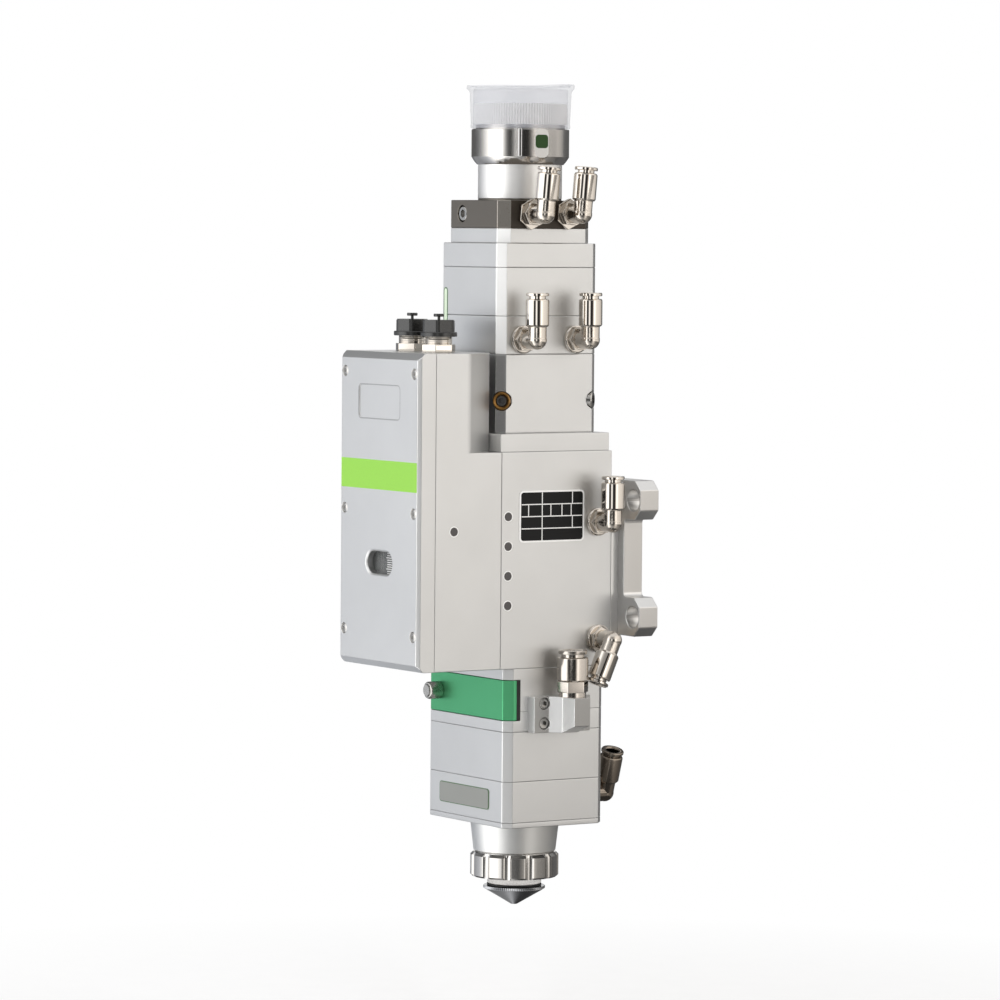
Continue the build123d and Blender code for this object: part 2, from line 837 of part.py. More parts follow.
def elbow_body(seat):
    """The cast corner and the sleeve that takes the tube."""
    port = elbow_port(seat)
    with BuildPart() as body:
        with BuildSketch(port.offset(elbow_sleeve_low)):
            Circle(elbow_sleeve_d / 2)
        extrude(amount=elbow_sleeve_h)
        chamfer(body.edges().filter_by(GeomType.CIRCLE), length=elbow_edge)
        with BuildSketch(port):
            Circle(elbow_barrel_d / 2)
        extrude(amount=elbow_sleeve_low)
        with BuildSketch(seat.offset(elbow_body_low + sliding_gap)):
            Circle(elbow_barrel_d / 2)
        extrude(amount=elbow_standoff - elbow_body_low - sliding_gap)
        with Locations(port.origin):
            Sphere(elbow_barrel_d / 2)
        with BuildSketch(seat.offset(elbow_body_low)):
            Circle(elbow_spigot_d / 2 + running_gap)
        extrude(amount=elbow_spigot_h + loose_gap, mode=Mode.SUBTRACT)
        with BuildSketch(seat.offset(elbow_body_low)):
            Circle(elbow_passage_d / 2)
        extrude(amount=elbow_standoff - elbow_body_low, mode=Mode.SUBTRACT)
        with BuildSketch(port):
            Circle(elbow_passage_d / 2)
        extrude(amount=elbow_seat_low, mode=Mode.SUBTRACT)
        with BuildSketch(port.offset(elbow_seat_low)):
            Circle(tube_d / 2 + tube_gap)
        extrude(amount=elbow_ring_low - elbow_seat_low, mode=Mode.SUBTRACT)
        with BuildSketch(port.offset(elbow_ring_low)):
            Circle(elbow_ring_neck_r + sliding_gap)
        extrude(amount=elbow_sleeve_top - elbow_ring_low, mode=Mode.SUBTRACT)
    return body.part


stems = []
for name, seat in elbow_seats.items():
    stems.append(elbow_stem(seat, name.startswith("head")))
    save(elbow_body(seat), f"elbow_{name}")
    ring = release_ring(
        elbow_port(seat),
        elbow_ring_low,
        elbow_sleeve_top,
        elbow_ring_travel,
        elbow_ring_neck_r,
        elbow_ring_bore_r,
        elbow_ring_flange_d / 2,
        elbow_ring_flange_h,
        ring_mouth,
    )
    save(ring, f"release_ring_{name}")
save(Compound(children=stems), "elbow_stems")

# Main body: the focusing barrel's bore, a slot for the drive's arm and the plugs' pockets
arm_mid_z = body_z + barrel_rise + barrel_h / 2
arm_slot_w = arm_w + 2 * arm_slot_gap
arm_slot_h = nut_block_h + 2 * (focus_travel + arm_slot_gap)
plug_places = [(plug_y, body_z + plug_top_rise - index * plug_pitch) for index in range(plug_count)]
with BuildPart() as main_block:
    with BuildSketch(Plane.XY.offset(body_z)):
        with Locations((0, (body_front_y + body_rear_y) / 2)):
            Rectangle(column_w, body_rear_y - body_front_y)
    extrude(amount=body_h)
    with BuildSketch(Plane.XY.offset(body_z)):
        Circle(beam_bore_d / 2)
    extrude(amount=body_floor, mode=Mode.SUBTRACT)
    with BuildSketch(Plane.XY.offset(body_z + body_floor)):
        Circle(barrel_bore_d / 2)
    extrude(amount=body_h - body_floor, mode=Mode.SUBTRACT)
    with BuildSketch(Plane.XZ.offset(-body_front_y)):
        with Locations((0, arm_mid_z)):
            Rectangle(arm_slot_w, arm_slot_h)
    extrude(amount=body_front_y, mode=Mode.SUBTRACT)
    with BuildSketch(Plane.YZ.offset(side_x)):
        with Locations(*plug_places):
            Circle(plug_d / 2)
    extrude(amount=-plug_t, mode=Mode.SUBTRACT)
    with BuildSketch(Plane.XZ.offset(-body_rear_y)):
        with Locations((0, bracket_z + bracket_h / 2)):
            with GridLocations(2 * back_screw_x, 2 * back_screw_z, 2, 2):
                Circle(back_screw_d / 2)
    extrude(amount=back_screw_reach + loose_gap, mode=Mode.SUBTRACT)
save(drilled(main_block.part, ["body_upper", "body_lower"]), "main_body")

with BuildPart() as body_flange:
    with BuildSketch(Plane.XY.offset(flange_z)):
        with Locations((0, (body_front_y + flange_rear_y) / 2)):
            Rectangle(flange_w, flange_rear_y - body_front_y)
        Circle(beam_bore_d / 2, mode=Mode.SUBTRACT)
    extrude(amount=flange_h)
save(body_flange.part, "body_flange")

# Motor box: the lower part is square at the rear, the tower above the body has round corners
box_front_y = body_front_y - box_depth
box_mid_y = (box_front_y + body_front_y) / 2
box_top_z = box_z + box_h
room_w = column_w - 2 * box_wall_side
cover_screw_places = [(side * cover_screw_x, box_z + rise) for side in (-1, 1) for rise in cover_screw_rises]
with BuildPart() as motor_housing:
    with BuildSketch(Plane.XY.offset(box_z)):
        with Locations((0, box_mid_y)):
            Rectangle(column_w, box_depth)
    extrude(amount=flange_z - box_z)
    with BuildSketch(Plane.XY.offset(flange_z)) as tower:
        with BuildLine():
            Polyline(
                (column_w / 2, box_front_y),
                (column_w / 2, body_front_y - box_flank_run),
                (column_w / 2 - box_flank_in, body_front_y),
                (box_flank_in - column_w / 2, body_front_y),
                (-column_w / 2, body_front_y - box_flank_run),
                (-column_w / 2, box_front_y),
                close=True,
            )
        make_face()
        fillet(tower.vertices().group_by(Axis.Y)[1], radius=box_flank_round)
    extrude(amount=box_top_z - flange_z)
    with BuildSketch(Plane.XY.offset(box_z + box_wall_end)) as room:
        with Locations((0, box_mid_y - box_wall_rear / 2)):
            Rectangle(room_w, box_depth - box_wall_rear)
        fillet(room.vertices().group_by(Axis.Y)[-1], radius=room_corner_r)
    extrude(amount=box_h - 2 * box_wall_end, mode=Mode.SUBTRACT)
    with BuildSketch(Plane.XZ.offset(-body_front_y)):
        with Locations((0, arm_mid_z)):
            Rectangle(arm_slot_w, arm_slot_h)
    extrude(amount=box_wall_rear, mode=Mode.SUBTRACT)
    with BuildSketch(Plane.XZ.offset(-box_front_y)):
        with Locations(*cover_screw_places):
            Circle(cover_screw_d / 2)
    extrude(amount=-(cover_screw_reach + loose_gap), mode=Mode.SUBTRACT)
    with BuildSketch(Plane.XY.offset(box_top_z)):
        with Locations((-connector_x, connector_y), (connector_x, connector_y)):
            Circle(connector_shank_d / 2)
    extrude(amount=-box_wall_end, mode=Mode.SUBTRACT)
    with BuildSketch(Plane.YZ.offset(side_x)):
        with Locations((side_plug_y, box_z + side_plug_rise)):
            Circle(plug_d / 2)
    extrude(amount=-plug_t, mode=Mode.SUBTRACT)
save(motor_housing.part, "motor_housing")

# Cover of the motor box, with the racetrack window that the focus scale is read through
cover_front_y = box_front_y - cover_t
cover_inner_y = cover_front_y + cover_face_t
slot_z = box_z + slot_rise
with BuildPart() as housing_cover:
    with BuildSketch(Plane.XZ.offset(-box_front_y)):
        with Locations((0, box_z + box_h / 2)):
            Rectangle(column_w, box_h)
    extrude(amount=cover_t)
    chamfer(housing_cover.faces().sort_by(Axis.Y)[0].edges().filter_by(Axis.X), length=cover_end_chamfer)
    chamfer(housing_cover.faces().sort_by(Axis.Y)[0].edges().filter_by(Axis.Z), length=cover_side_chamfer)
    with BuildSketch(Plane.XZ.offset(-box_front_y)):
        with Locations((0, box_z + box_h / 2)):
            Rectangle(room_w, box_h - 2 * box_wall_end)
    extrude(amount=cover_t - cover_face_t, mode=Mode.SUBTRACT)
    with BuildSketch(Plane.XZ.offset(-cover_inner_y)):
        with Locations((slot_x, slot_z)):
            SlotOverall(slot_w - 2 * slot_bevel, slot_h - 2 * slot_bevel)
    extrude(amount=cover_face_t, mode=Mode.SUBTRACT)
    chamfer(housing_cover.faces().sort_by(Axis.Y)[0].inner_wires()[0].edges(), length=slot_bevel)
    with BuildSketch(Plane.XZ.offset(-cover_front_y)):
        with Locations((0, box_z + badge_rise)):
            RectangleRounded(badge_w, badge_h, badge_corner)
    extrude(amount=-badge_depth, mode=Mode.SUBTRACT)
    with BuildSketch(Plane.XZ.offset(-cover_front_y)):
        with Locations(*cover_screw_places):
            Circle(cover_recess_d / 2)
    extrude(amount=-cover_recess_depth, mode=Mode.SUBTRACT)
    with BuildSketch(Plane.XZ.offset(-cover_front_y)):
        with Locations(*cover_screw_places):
            Circle(cover_screw_d / 2)
    extrude(amount=-cover_t, mode=Mode.SUBTRACT)
save(housing_cover.part, "housing_cover")

cover_screws = [
    cap_screw(
        Plane(origin=(x, cover_front_y + cover_recess_depth, z), z_dir=(0, -1, 0)),
        cover_screw_head_d,
        cover_screw_head_t,
        cover_screw_d,
        cover_t - cover_recess_depth + cover_screw_reach,
    )
    for x, z in cover_screw_places
]

# Focus drive: a frame of two bearing blocks and two rods, the motor and the lead screw
motor_z = box_z + motor_rise
drive_plate_z = motor_z - drive_plate_t
foot_z = box_z + box_wall_end
rod_places = [(-rod_x, drive_y), (rod_x, drive_y)]
with BuildPart() as drive_frame:
    for bottom, height in ((foot_z, foot_block_h), (drive_plate_z, drive_plate_t)):
        with BuildSketch(Plane.XY.offset(bottom)):
            with Locations((0, drive_y)):
                Rectangle(foot_block_w, foot_block_d)
        extrude(amount=height)
    with BuildSketch(Plane.XY.offset(foot_z)):
        with Locations(*rod_places):
            Circle(rod_d / 2)
    extrude(amount=motor_z - foot_z)
    with BuildSketch(Plane.XY.offset(foot_z)):
        with Locations((0, drive_y)):
            Circle(screw_d / 2 + running_gap)
    extrude(amount=motor_z - foot_z, mode=Mode.SUBTRACT)
save(drive_frame.part, "drive_frame")

with BuildPart() as drive_motor:
    with BuildSketch(Plane.XY.offset(motor_z)) as motor_section:
        with Locations((0, drive_y)):
            Rectangle(motor_w, motor_w)
        chamfer(motor_section.vertices(), length=motor_corner)
    extrude(amount=motor_h)
save(drive_motor.part, "drive_motor")

with BuildPart() as lead_screw:
    with BuildSketch(Plane.XY.offset(foot_z + loose_gap)):
        with Locations((0, drive_y)):
            Circle(screw_d / 2)
    extrude(amount=motor_z - foot_z - 2 * loose_gap)
save(lead_screw.part, "lead_screw")

# Focus carriage: the barrel, the arm through the slot, the nut block on the rods and the
# scale's plate, which stands on the nut block behind the cover's window
barrel_z = body_z + barrel_rise
barrel_d = barrel_bore_d - 2 * sliding_gap
focus_seat_z = barrel_z + focus_seat_rise
nut_block_z = arm_mid_z - nut_block_h / 2
nut_block_front_y = drive_y - nut_block_d / 2
scale_front_y = cover_inner_y + pane_room + scale_face_gap
with BuildPart() as focus_carriage:
    with BuildSketch(Plane.XY.offset(barrel_z)):
        Circle(barrel_d / 2)
    extrude(amount=barrel_h)
    with BuildSketch(Plane.XY.offset(nut_block_z)):
        with Locations((0, drive_y)):
            Rectangle(nut_block_w, nut_block_d)
        with Locations((0, drive_y / 2)):
            Rectangle(arm_w, -drive_y)
    extrude(amount=nut_block_h)
    with BuildSketch(Plane.XZ.offset(-scale_front_y)):
        with Locations((scale_x + scale_w / 2, slot_z)):
            Rectangle(scale_w, scale_h)
    extrude(amount=-scale_t)
    with BuildSketch(Plane.XZ.offset(-scale_front_y)):
        with Locations((scale_x + scale_w / 2, arm_mid_z)):
            Rectangle(scale_w, scale_foot_h)
    extrude(amount=-(nut_block_front_y - scale_front_y))
    with BuildSketch(Plane.XY.offset(barrel_z)):
        Circle(focus_lens_d / 2 - lens_shoulder)
    extrude(amount=barrel_h, mode=Mode.SUBTRACT)
    with BuildSketch(Plane.XY.offset(focus_seat_z)):
        Circle(focus_lens_d / 2 + sliding_gap)
    extrude(amount=barrel_h - focus_seat_rise, mode=Mode.SUBTRACT)
    with BuildSketch(Plane.XY.offset(nut_block_z)):
        with Locations((0, drive_y)):
            Circle(screw_d / 2 + sliding_gap)
        with Locations(*rod_places):
            Circle(rod_d / 2 + sliding_gap)
    extrude(amount=nut_block_h, mode=Mode.SUBTRACT)
save(focus_carriage.part, "focus_carriage")

save(lens(focus_seat_z, focus_lens_d, focus_lens_edge, focus_lens_sag), "focusing_lens")

# Cable connectors on top of the box and their screw caps
connector_barrel_z = box_top_z + connector_hex_h
cap_z = connector_barrel_z + connector_barrel_h
with BuildPart() as cable_connectors:
    with BuildSketch(Plane.XY.offset(box_top_z)):
        with Locations((-connector_x, connector_y), (connector_x, connector_y)):
            RegularPolygon(connector_hex_af / 2, 6, major_radius=False)
    extrude(amount=connector_hex_h)
    with BuildSketch(Plane.XY.offset(connector_barrel_z)):
        with Locations((-connector_x, connector_y), (connector_x, connector_y)):
            Circle(connector_barrel_d / 2)
    extrude(amount=connector_barrel_h)
    with BuildSketch(Plane.XY.offset(cap_z)):
        with Locations((-connector_x, connector_y), (connector_x, connector_y)):
            Circle(connector_neck_d / 2)
    extrude(amount=connector_neck_h)
    with BuildSketch(Plane.XY.offset(box_top_z)):
        with Locations((-connector_x, connector_y), (connector_x, connector_y)):
            Circle(connector_shank_d / 2)
    extrude(amount=-box_wall_end)
save(cable_connectors.part, "cable_connectors")


def connector_cap(x):
    """A ribbed screw cap with a small T-shaped knob that its strap would hook on."""
    with BuildPart() as cap:
        with BuildSketch(Plane.XY.offset(cap_z)):
            with Locations((x, connector_y)):
                Circle(cap_flange_d / 2)
        extrude(amount=cap_flange_h)
        with BuildSketch(Plane.XY.offset(cap_z)):
            with Locations((x, connector_y)):
                Circle(cap_body_d / 2)
                with PolarLocations(cap_body_d / 2, cap_ribs):
                    Rectangle(2 * cap_rib_depth, cap_groove_w, mode=Mode.SUBTRACT)
        extrude(amount=cap_body_h)
        with BuildSketch(Plane.XY.offset(cap_z)):
            with Locations((x, connector_y)):
                Circle(connector_neck_d / 2 + loose_gap)
        extrude(amount=connector_neck_h + loose_gap, mode=Mode.SUBTRACT)
        with BuildSketch(Plane.XY.offset(cap_z + cap_body_h)):
            with Locations((x, connector_y)):
                Circle(cap_knob_stem_d / 2)
        extrude(amount=cap_knob_h)
        with BuildSketch(Plane.XY.offset(cap_z + cap_body_h + cap_knob_h)):
            with Locations((x, connector_y)):
                Circle(cap_knob_d / 2)
        extrude(amount=-cap_knob_head_h)
    return cap.part


save(connector_cap(-connector_x), "connector_cap_left")
save(connector_cap(connector_x), "connector_cap_right")

# Bracket behind the body: a spacer plate, and a plate with four octagonal lugs
with BuildPart() as bracket_spacer:
    with BuildSketch(Plane.XZ.offset(-body_rear_y)):
        with Locations((0, bracket_z + bracket_h / 2)):
            Rectangle(column_w, bracket_h)
            with GridLocations(2 * back_screw_x, 2 * back_screw_z, 2, 2):
                Circle(back_screw_d / 2, mode=Mode.SUBTRACT)
    extrude(amount=-spacer_back_t)
save(bracket_spacer.part, "bracket_spacer")

bracket_y = body_rear_y + spacer_back_t
bracket_face_y = bracket_y + bracket_t
bracket_top_z = bracket_z + bracket_h
lug_h = 2 * lug_half_h
with BuildPart() as mounting_bracket:
    with BuildSketch(Plane.XZ.offset(-bracket_y)) as bracket_outline:
        with BuildLine():
            Polyline(
                (0, bracket_z),
                (lug_reach - lug_slant, bracket_z),
                (lug_reach, bracket_z + lug_slant),
                (lug_reach, bracket_z + lug_h - lug_slant),
                (lug_reach - lug_slant, bracket_z + lug_h),
                (waist_reach, bracket_z + lug_h),
                (waist_reach, bracket_top_z - lug_h),
                (lug_reach - lug_slant, bracket_top_z - lug_h),
                (lug_reach, bracket_top_z - lug_h + lug_slant),
                (lug_reach, bracket_top_z - lug_slant),
                (lug_reach - lug_slant, bracket_top_z),
                (0, bracket_top_z),
                close=True,
            )
        make_face()
        mirror(about=Plane.YZ)
        corners = bracket_outline.vertices()
        waist = [corner for corner in corners if math.isclose(abs(corner.X), waist_reach, abs_tol=0.1)]
        fillet(waist, radius=waist_fillet)
        with Locations((0, bracket_z + bracket_h / 2)):
            with GridLocations(2 * bracket_hole_x, bracket_h - lug_h, 2, 2):
                Circle(bracket_hole_d / 2, mode=Mode.SUBTRACT)
            with GridLocations(2 * back_screw_x, 2 * back_screw_z, 2, 2):
                Circle(back_screw_d / 2, mode=Mode.SUBTRACT)
    extrude(amount=-bracket_t)
    with BuildSketch(Plane.XZ.offset(-bracket_face_y)):
        with Locations((0, bracket_z + bracket_h / 2)):
            with GridLocations(2 * back_screw_x, 2 * back_screw_z, 2, 2):
                Circle(back_screw_head_d / 2 + loose_gap)
    extrude(amount=back_screw_head_t, mode=Mode.SUBTRACT)
save(mounting_bracket.part, "mounting_bracket")

bracket_screws = [
    cap_screw(
        Plane(origin=(x, bracket_face_y - back_screw_head_t, bracket_z + bracket_h / 2 + z), z_dir=(0, 1, 0)),
        back_screw_head_d,
        back_screw_head_t,
        back_screw_d,
        bracket_t - back_screw_head_t + spacer_back_t + back_screw_reach,
    )
    for x in (-back_screw_x, back_screw_x)
    for z in (-back_screw_z, back_screw_z)
]

# Centring block: two screws at the right-hand corners move the collimating lens
centring_face = ((upper_w + upper_d) / 2 - upper_corner) / math.sqrt(2)
centring_screw_z = centring_z + centring_screw_rise
stage_z = centring_z + centring_floor
cell_z = stage_z + stage_t
diagonal = math.sqrt(0.5)
centring_faces = [
    Plane(
        origin=(centring_face * diagonal, side * centring_face * diagonal, centring_screw_z),
        z_dir=(diagonal, side * diagonal, 0),
    )
    for side in (-1, 1)
]
with BuildPart() as centring_block:
    add(column_block(centring_z, centring_block_h, upper_w, upper_d, upper_corner, beam_bore_d))
    with BuildSketch(Plane.XY.offset(stage_z)):
        Circle(centring_cavity_d / 2)
    extrude(amount=centring_block_h - centring_floor, mode=Mode.SUBTRACT)
    for face in centring_faces:
        with BuildSketch(face):
            Circle(centring_notch_d / 2)
        extrude(amount=-centring_notch_depth, mode=Mode.SUBTRACT)
        with BuildSketch(face):
            Circle(centring_screw_d / 2 + running_gap)
        extrude(amount=-(centring_face - centring_cavity_d / 4), mode=Mode.SUBTRACT)
save(centring_block.part, "centring_block")


def centring_screw(face, head_d):
    """An adjusting screw whose head lies in the corner's notch and whose tip is near the cell."""
    seat = face.offset(-centring_notch_depth)
    tip = centring_face - centring_notch_depth - cell_d / 2 - 2 * centring_travel
    return cap_screw(seat, head_d, centring_head_t, centring_screw_d, tip)


save(centring_screw(centring_faces[0], centring_head_d), "centring_screw_front")
save(centring_screw(centring_faces[1], centring_rear_head_d), "centring_screw_rear")

save(tube(stage_z, stage_t, stage_d, colli_lens_d), "centring_stage")
with BuildPart() as lens_cell:
    with BuildSketch(Plane.XY.offset(cell_z)):
        Circle(cell_d / 2)
        Circle(colli_lens_d / 2 - lens_shoulder, mode=Mode.SUBTRACT)
    extrude(amount=cell_h)
    with BuildSketch(Plane.XY.offset(cell_z + cell_floor)):
        Circle(colli_lens_d / 2 + sliding_gap)
    extrude(amount=cell_h - cell_floor, mode=Mode.SUBTRACT)
save(lens_cell.part, "lens_cell")
save(lens(cell_z + cell_floor, colli_lens_d, colli_lens_edge, colli_lens_sag), "collimating_lens")

# Collimator blocks and the two head plates
colli_lower = column_block(colli_z, colli_lower_h, upper_w, upper_d, upper_corner, beam_bore_d)
save(drilled(colli_lower, ["collimator_front", "collimator_rear"]), "collimator_lower")
save(
    column_block(colli_middle_z, colli_middle_h, upper_w, upper_d, upper_corner, beam_bore_d),
    "collimator_middle",
)
save(
    column_block(colli_upper_z, colli_upper_h, upper_w, upper_d, upper_corner, beam_bore_d),
    "collimator_upper",
)
save(column_block(spacer_z, spacer_h, head_w, head_d, head_corner, beam_bore_d), "spacer_plate")

plate_screw_face = Plane(
    origin=(plate_screw_x, -head_d / 2 + plate_screw_recess, plate_z + plate_screw_rise),
    z_dir=(0, -1, 0),
)
with BuildPart() as cooling_plate:
    head_plate = column_block(plate_z, cooling_plate_h, head_w, head_d, head_corner, beam_bore_d)
    add(drilled(head_plate, ["head_front", "head_rear"]))
    with BuildSketch(plate_screw_face):
        Circle(plate_screw_recess_d / 2)
    extrude(amount=plate_screw_recess, mode=Mode.SUBTRACT)
    with BuildSketch(plate_screw_face):
        Circle(plate_screw_d / 2)
    extrude(amount=-(plate_screw_reach + loose_gap), mode=Mode.SUBTRACT)
save(cooling_plate.part, "cooling_plate")
plate_screw = cap_screw(
    plate_screw_face,
    plate_screw_head_d,
    plate_screw_head_t,
    plate_screw_d,
    plate_screw_reach,
)
save(Compound(children=[*cover_screws, *gas_screws, *bracket_screws, plate_screw]), "socket_screws")

# Fibre end: the receptacle on its foot, the turning sleeve with its grip, and the dust cap
with BuildPart() as fibre_receptacle:
    with BuildSketch(Plane.XY.offset(foot_ring_z)):
        Circle(foot_ring_d / 2)
    extrude(amount=foot_ring_h)
    with BuildSketch(Plane.XY.offset(socket_z)):
        Circle(neck_d / 2)
    extrude(amount=neck_h)
    with BuildSketch(Plane.XY.offset(sleeve_z)):
        Circle(socket_d / 2 + socket_wall)
    extrude(amount=socket_top)
    with BuildSketch(Plane.XY.offset(foot_ring_z)):
        Circle(socket_d / 4)
    extrude(amount=foot_ring_h + socket_floor, mode=Mode.SUBTRACT)
    with BuildSketch(Plane.XY.offset(socket_z + socket_floor)):
        Circle(socket_d / 2)
    extrude(amount=neck_h - socket_floor + socket_top, mode=Mode.SUBTRACT)
save(fibre_receptacle.part, "fibre_receptacle")

sleeve_bore_r = socket_d / 2 + socket_wall + running_gap
sleeve_top_z = sleeve_z + sleeve_h
with BuildPart() as locking_sleeve:
    with BuildSketch(Plane.XZ):
        with BuildLine():
            Polyline(
                (sleeve_bore_r, sleeve_z),
                (sleeve_low_d / 2, sleeve_z),
                (sleeve_d / 2, sleeve_z + sleeve_taper_h),
                (sleeve_d / 2, sleeve_top_z),
                (grip_groove_d / 2, sleeve_top_z),
                (grip_groove_d / 2, grip_z),
                (grip_d / 2, grip_z),
                (grip_d / 2, grip_z + grip_h),
                (sleeve_bore_r, grip_z + grip_h),
                close=True,
            )
        make_face()
    revolve(axis=Axis.Z)
save(locking_sleeve.part, "locking_sleeve")

dust_cap_z = sleeve_top_z + loose_gap
dust_bore_r = dust_cap_d / 2 - dust_cap_wall
dust_brim_z = dust_cap_z + dust_cap_h
dust_top_z = dust_brim_z + dust_brim_h
with BuildPart() as dust_cap:
    with BuildSketch(Plane.XZ):
        with BuildLine():
            Polyline(
                (dust_bore_r, dust_cap_z),
                (dust_cap_d / 2, dust_cap_z),
                (dust_cap_d / 2, dust_brim_z - dust_flare_h),
                (dust_brim_d / 2, dust_brim_z),
                (dust_brim_d / 2, dust_top_z),
                (0, dust_top_z),
                (0, dust_top_z - dust_cap_top_t),
                (dust_bore_r, dust_top_z - dust_cap_top_t),
                close=True,
            )
        make_face()
    revolve(axis=Axis.Z)
save(dust_cap.part, "dust_cap")
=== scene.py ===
# %% [markdown]
# # Dressing a laser cutting head
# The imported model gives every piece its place. This lesson gives the pieces their real
# surfaces: blasted and anodised aluminium, nickel-plated fittings, turned steel, a milky
# plastic cap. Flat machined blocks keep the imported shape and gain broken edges. Round
# pieces are turned again with far more steps, because polished metal shows every facet.

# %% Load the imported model
import math
import bmesh
import bpy
from mathutils import Matrix, Vector


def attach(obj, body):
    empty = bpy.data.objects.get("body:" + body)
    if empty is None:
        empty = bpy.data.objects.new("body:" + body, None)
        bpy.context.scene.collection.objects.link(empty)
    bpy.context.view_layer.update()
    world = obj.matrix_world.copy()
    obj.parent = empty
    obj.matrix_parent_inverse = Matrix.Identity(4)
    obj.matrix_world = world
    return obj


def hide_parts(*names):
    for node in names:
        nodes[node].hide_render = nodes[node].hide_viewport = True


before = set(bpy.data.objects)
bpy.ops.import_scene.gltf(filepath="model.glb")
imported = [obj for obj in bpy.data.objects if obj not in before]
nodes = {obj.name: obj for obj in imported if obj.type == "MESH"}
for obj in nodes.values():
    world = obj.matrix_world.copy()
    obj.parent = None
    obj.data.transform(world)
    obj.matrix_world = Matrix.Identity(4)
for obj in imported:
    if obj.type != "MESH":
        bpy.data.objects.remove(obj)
scene = bpy.context.scene
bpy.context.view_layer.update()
mm = 0.001

# %% [markdown]
# ## Colours and nodes
# A colour is written as a web hex value, read off the real finish, and turned to linear
# light once. A material is a small tree, so one helper adds a node with its settings and
# its links, and the tree is then readable from top to bottom.

# %% Two helpers for every finish
def linear(hex_colour):
    channels = [int(hex_colour[i:i + 2], 16) / 255 for i in (1, 3, 5)]
    return [c / 12.92 if c <= 0.04045 else ((c + 0.055) / 1.055) ** 2.4 for c in channels] + [1]


def add_node(tree, kind, settings=None, links=None):
    added = tree.nodes.new(kind)
    for key, value in (settings or {}).items():
        if isinstance(key, str) and hasattr(added, key):
            setattr(added, key, value)
        else:
            added.inputs[key].default_value = value
    for key, socket in (links or {}).items():
        tree.links.new(socket, added.inputs[key])
    return added


def start_finish(name, settings):
    finish = bpy.data.materials.new(name)
    finish.use_nodes = True
    tree = finish.node_tree
    tree.nodes.clear()
    shader = add_node(tree, "ShaderNodeBsdfPrincipled", settings)
    add_node(tree, "ShaderNodeOutputMaterial", links={"Surface": shader.outputs["BSDF"]})
    place = add_node(tree, "ShaderNodeTexCoord").outputs["Object"]
    return finish, tree, shader, place


print("mid grey in linear light", round(linear("#808080")[0], 3))

# %% [markdown]
# ## Metals
# Most of the head is aluminium that was blasted with fine beads and then anodised clear.
# The beads leave dimples a tenth of a millimetre wide, which scatter the light, so the
# faces look even and silky. A fine noise gives the dimples as a bump and a small change
# of roughness, and a second, slow noise gives the uneven tone of a hand-blasted face.
# A lathe or a saw leaves lines, so there the fine noise is squeezed along one axis.

# %% One tree with grain, tone and lines for every finish
def grained(
    name, settings, colour, roughness, spread, grain_mm, depth_mm, detail, tones, lines=(1, 1, 1), slow=None,
):
    finish, tree, shader, place = start_finish(name, settings)
    run = add_node(tree, "ShaderNodeMapping", {"Scale": lines}, {"Vector": place})
    grain = add_node(
        tree, "ShaderNodeTexNoise", {"Scale": 1 / (grain_mm * mm), "Detail": detail},
        {"Vector": run.outputs["Vector"]},
    ).outputs["Fac"]
    cloud = grain
    if slow:
        cloud = add_node(
            tree, "ShaderNodeTexNoise", {"Scale": slow, "Detail": 3.0}, {"Vector": place},
        ).outputs["Fac"]
    # Noise seldom leaves the middle of its range
    usual = {"From Min": 0.3, "From Max": 0.7}
    limits = {"To Min": tones[0], "To Max": tones[1]}
    shade = add_node(tree, "ShaderNodeMapRange", {**usual, **limits}, {"Value": cloud})
    tint = add_node(
        tree, "ShaderNodeVectorMath", {"operation": "SCALE", 0: linear(colour)[:3]},
        {"Scale": shade.outputs["Result"]},
    )
    limits = {"To Min": roughness - spread / 2, "To Max": roughness + spread / 2}
    rough = add_node(tree, "ShaderNodeMapRange", {**usual, **limits}, {"Value": grain})
    bump = add_node(tree, "ShaderNodeBump", {"Strength": 0.5, "Distance": depth_mm * mm}, {"Height": grain})
    tree.links.new(tint.outputs["Vector"], shader.inputs["Base Color"])
    tree.links.new(rough.outputs["Result"], shader.inputs["Roughness"])
    tree.links.new(bump.outputs["Normal"], shader.inputs["Normal"])
    return finish


def metal(name, colour, roughness, grain_mm, depth_mm, tone=0.03, spread=0.06, lines=(1, 1, 1)):
    tones = (1 - tone, 1 + tone / 2)
    return grained(
        name, {"Metallic": 1.0}, colour, roughness, spread, grain_mm, depth_mm, 2.0, tones, lines, slow=35.0,
    )


print("a bump of", 0.01 * mm, "m is a hundredth of a millimetre")

# %% [markdown]
# Each metal is named for what it is and how its surface was made. The numbers are its
# roughness, the size of its grain and the depth of its grain, both in millimetres. Grain
# finer than a third of a millimetre would not show in the picture, so it is drawn so coarse.

# %% The metals
# Bead-blasted aluminium under clear anodising: bright, silky, no mirror image
blasted = metal("blasted_clear_anodised_aluminium", "#d6d6d5", 0.40, 0.35, 0.010)
# Face-milled and clear anodised: the same colour, with a little more shine
milled = metal("milled_clear_anodised_aluminium", "#dedddb", 0.30, 0.30, 0.006)
# A darker copy for the bracket's right sides: painted shade
milled_side_painted_shade = metal("milled_clear_anodised_aluminium_painted_shade", "#c5c3c0", 0.34, 0.30, 0.006, lines=(1, 1, 4))
# The small gas block gets a brighter copy as painted light, and a darker copy for its right side as painted
# shade
gas_block_painted_light = metal("gas_block_aluminium_painted_light", "#f2f2f1", 0.44, 0.30, 0.006)
gas_block_side_painted_shade = metal("gas_block_aluminium_side_painted_shade", "#a6a5a3", 0.42, 0.30, 0.006, lines=(1, 1, 4))
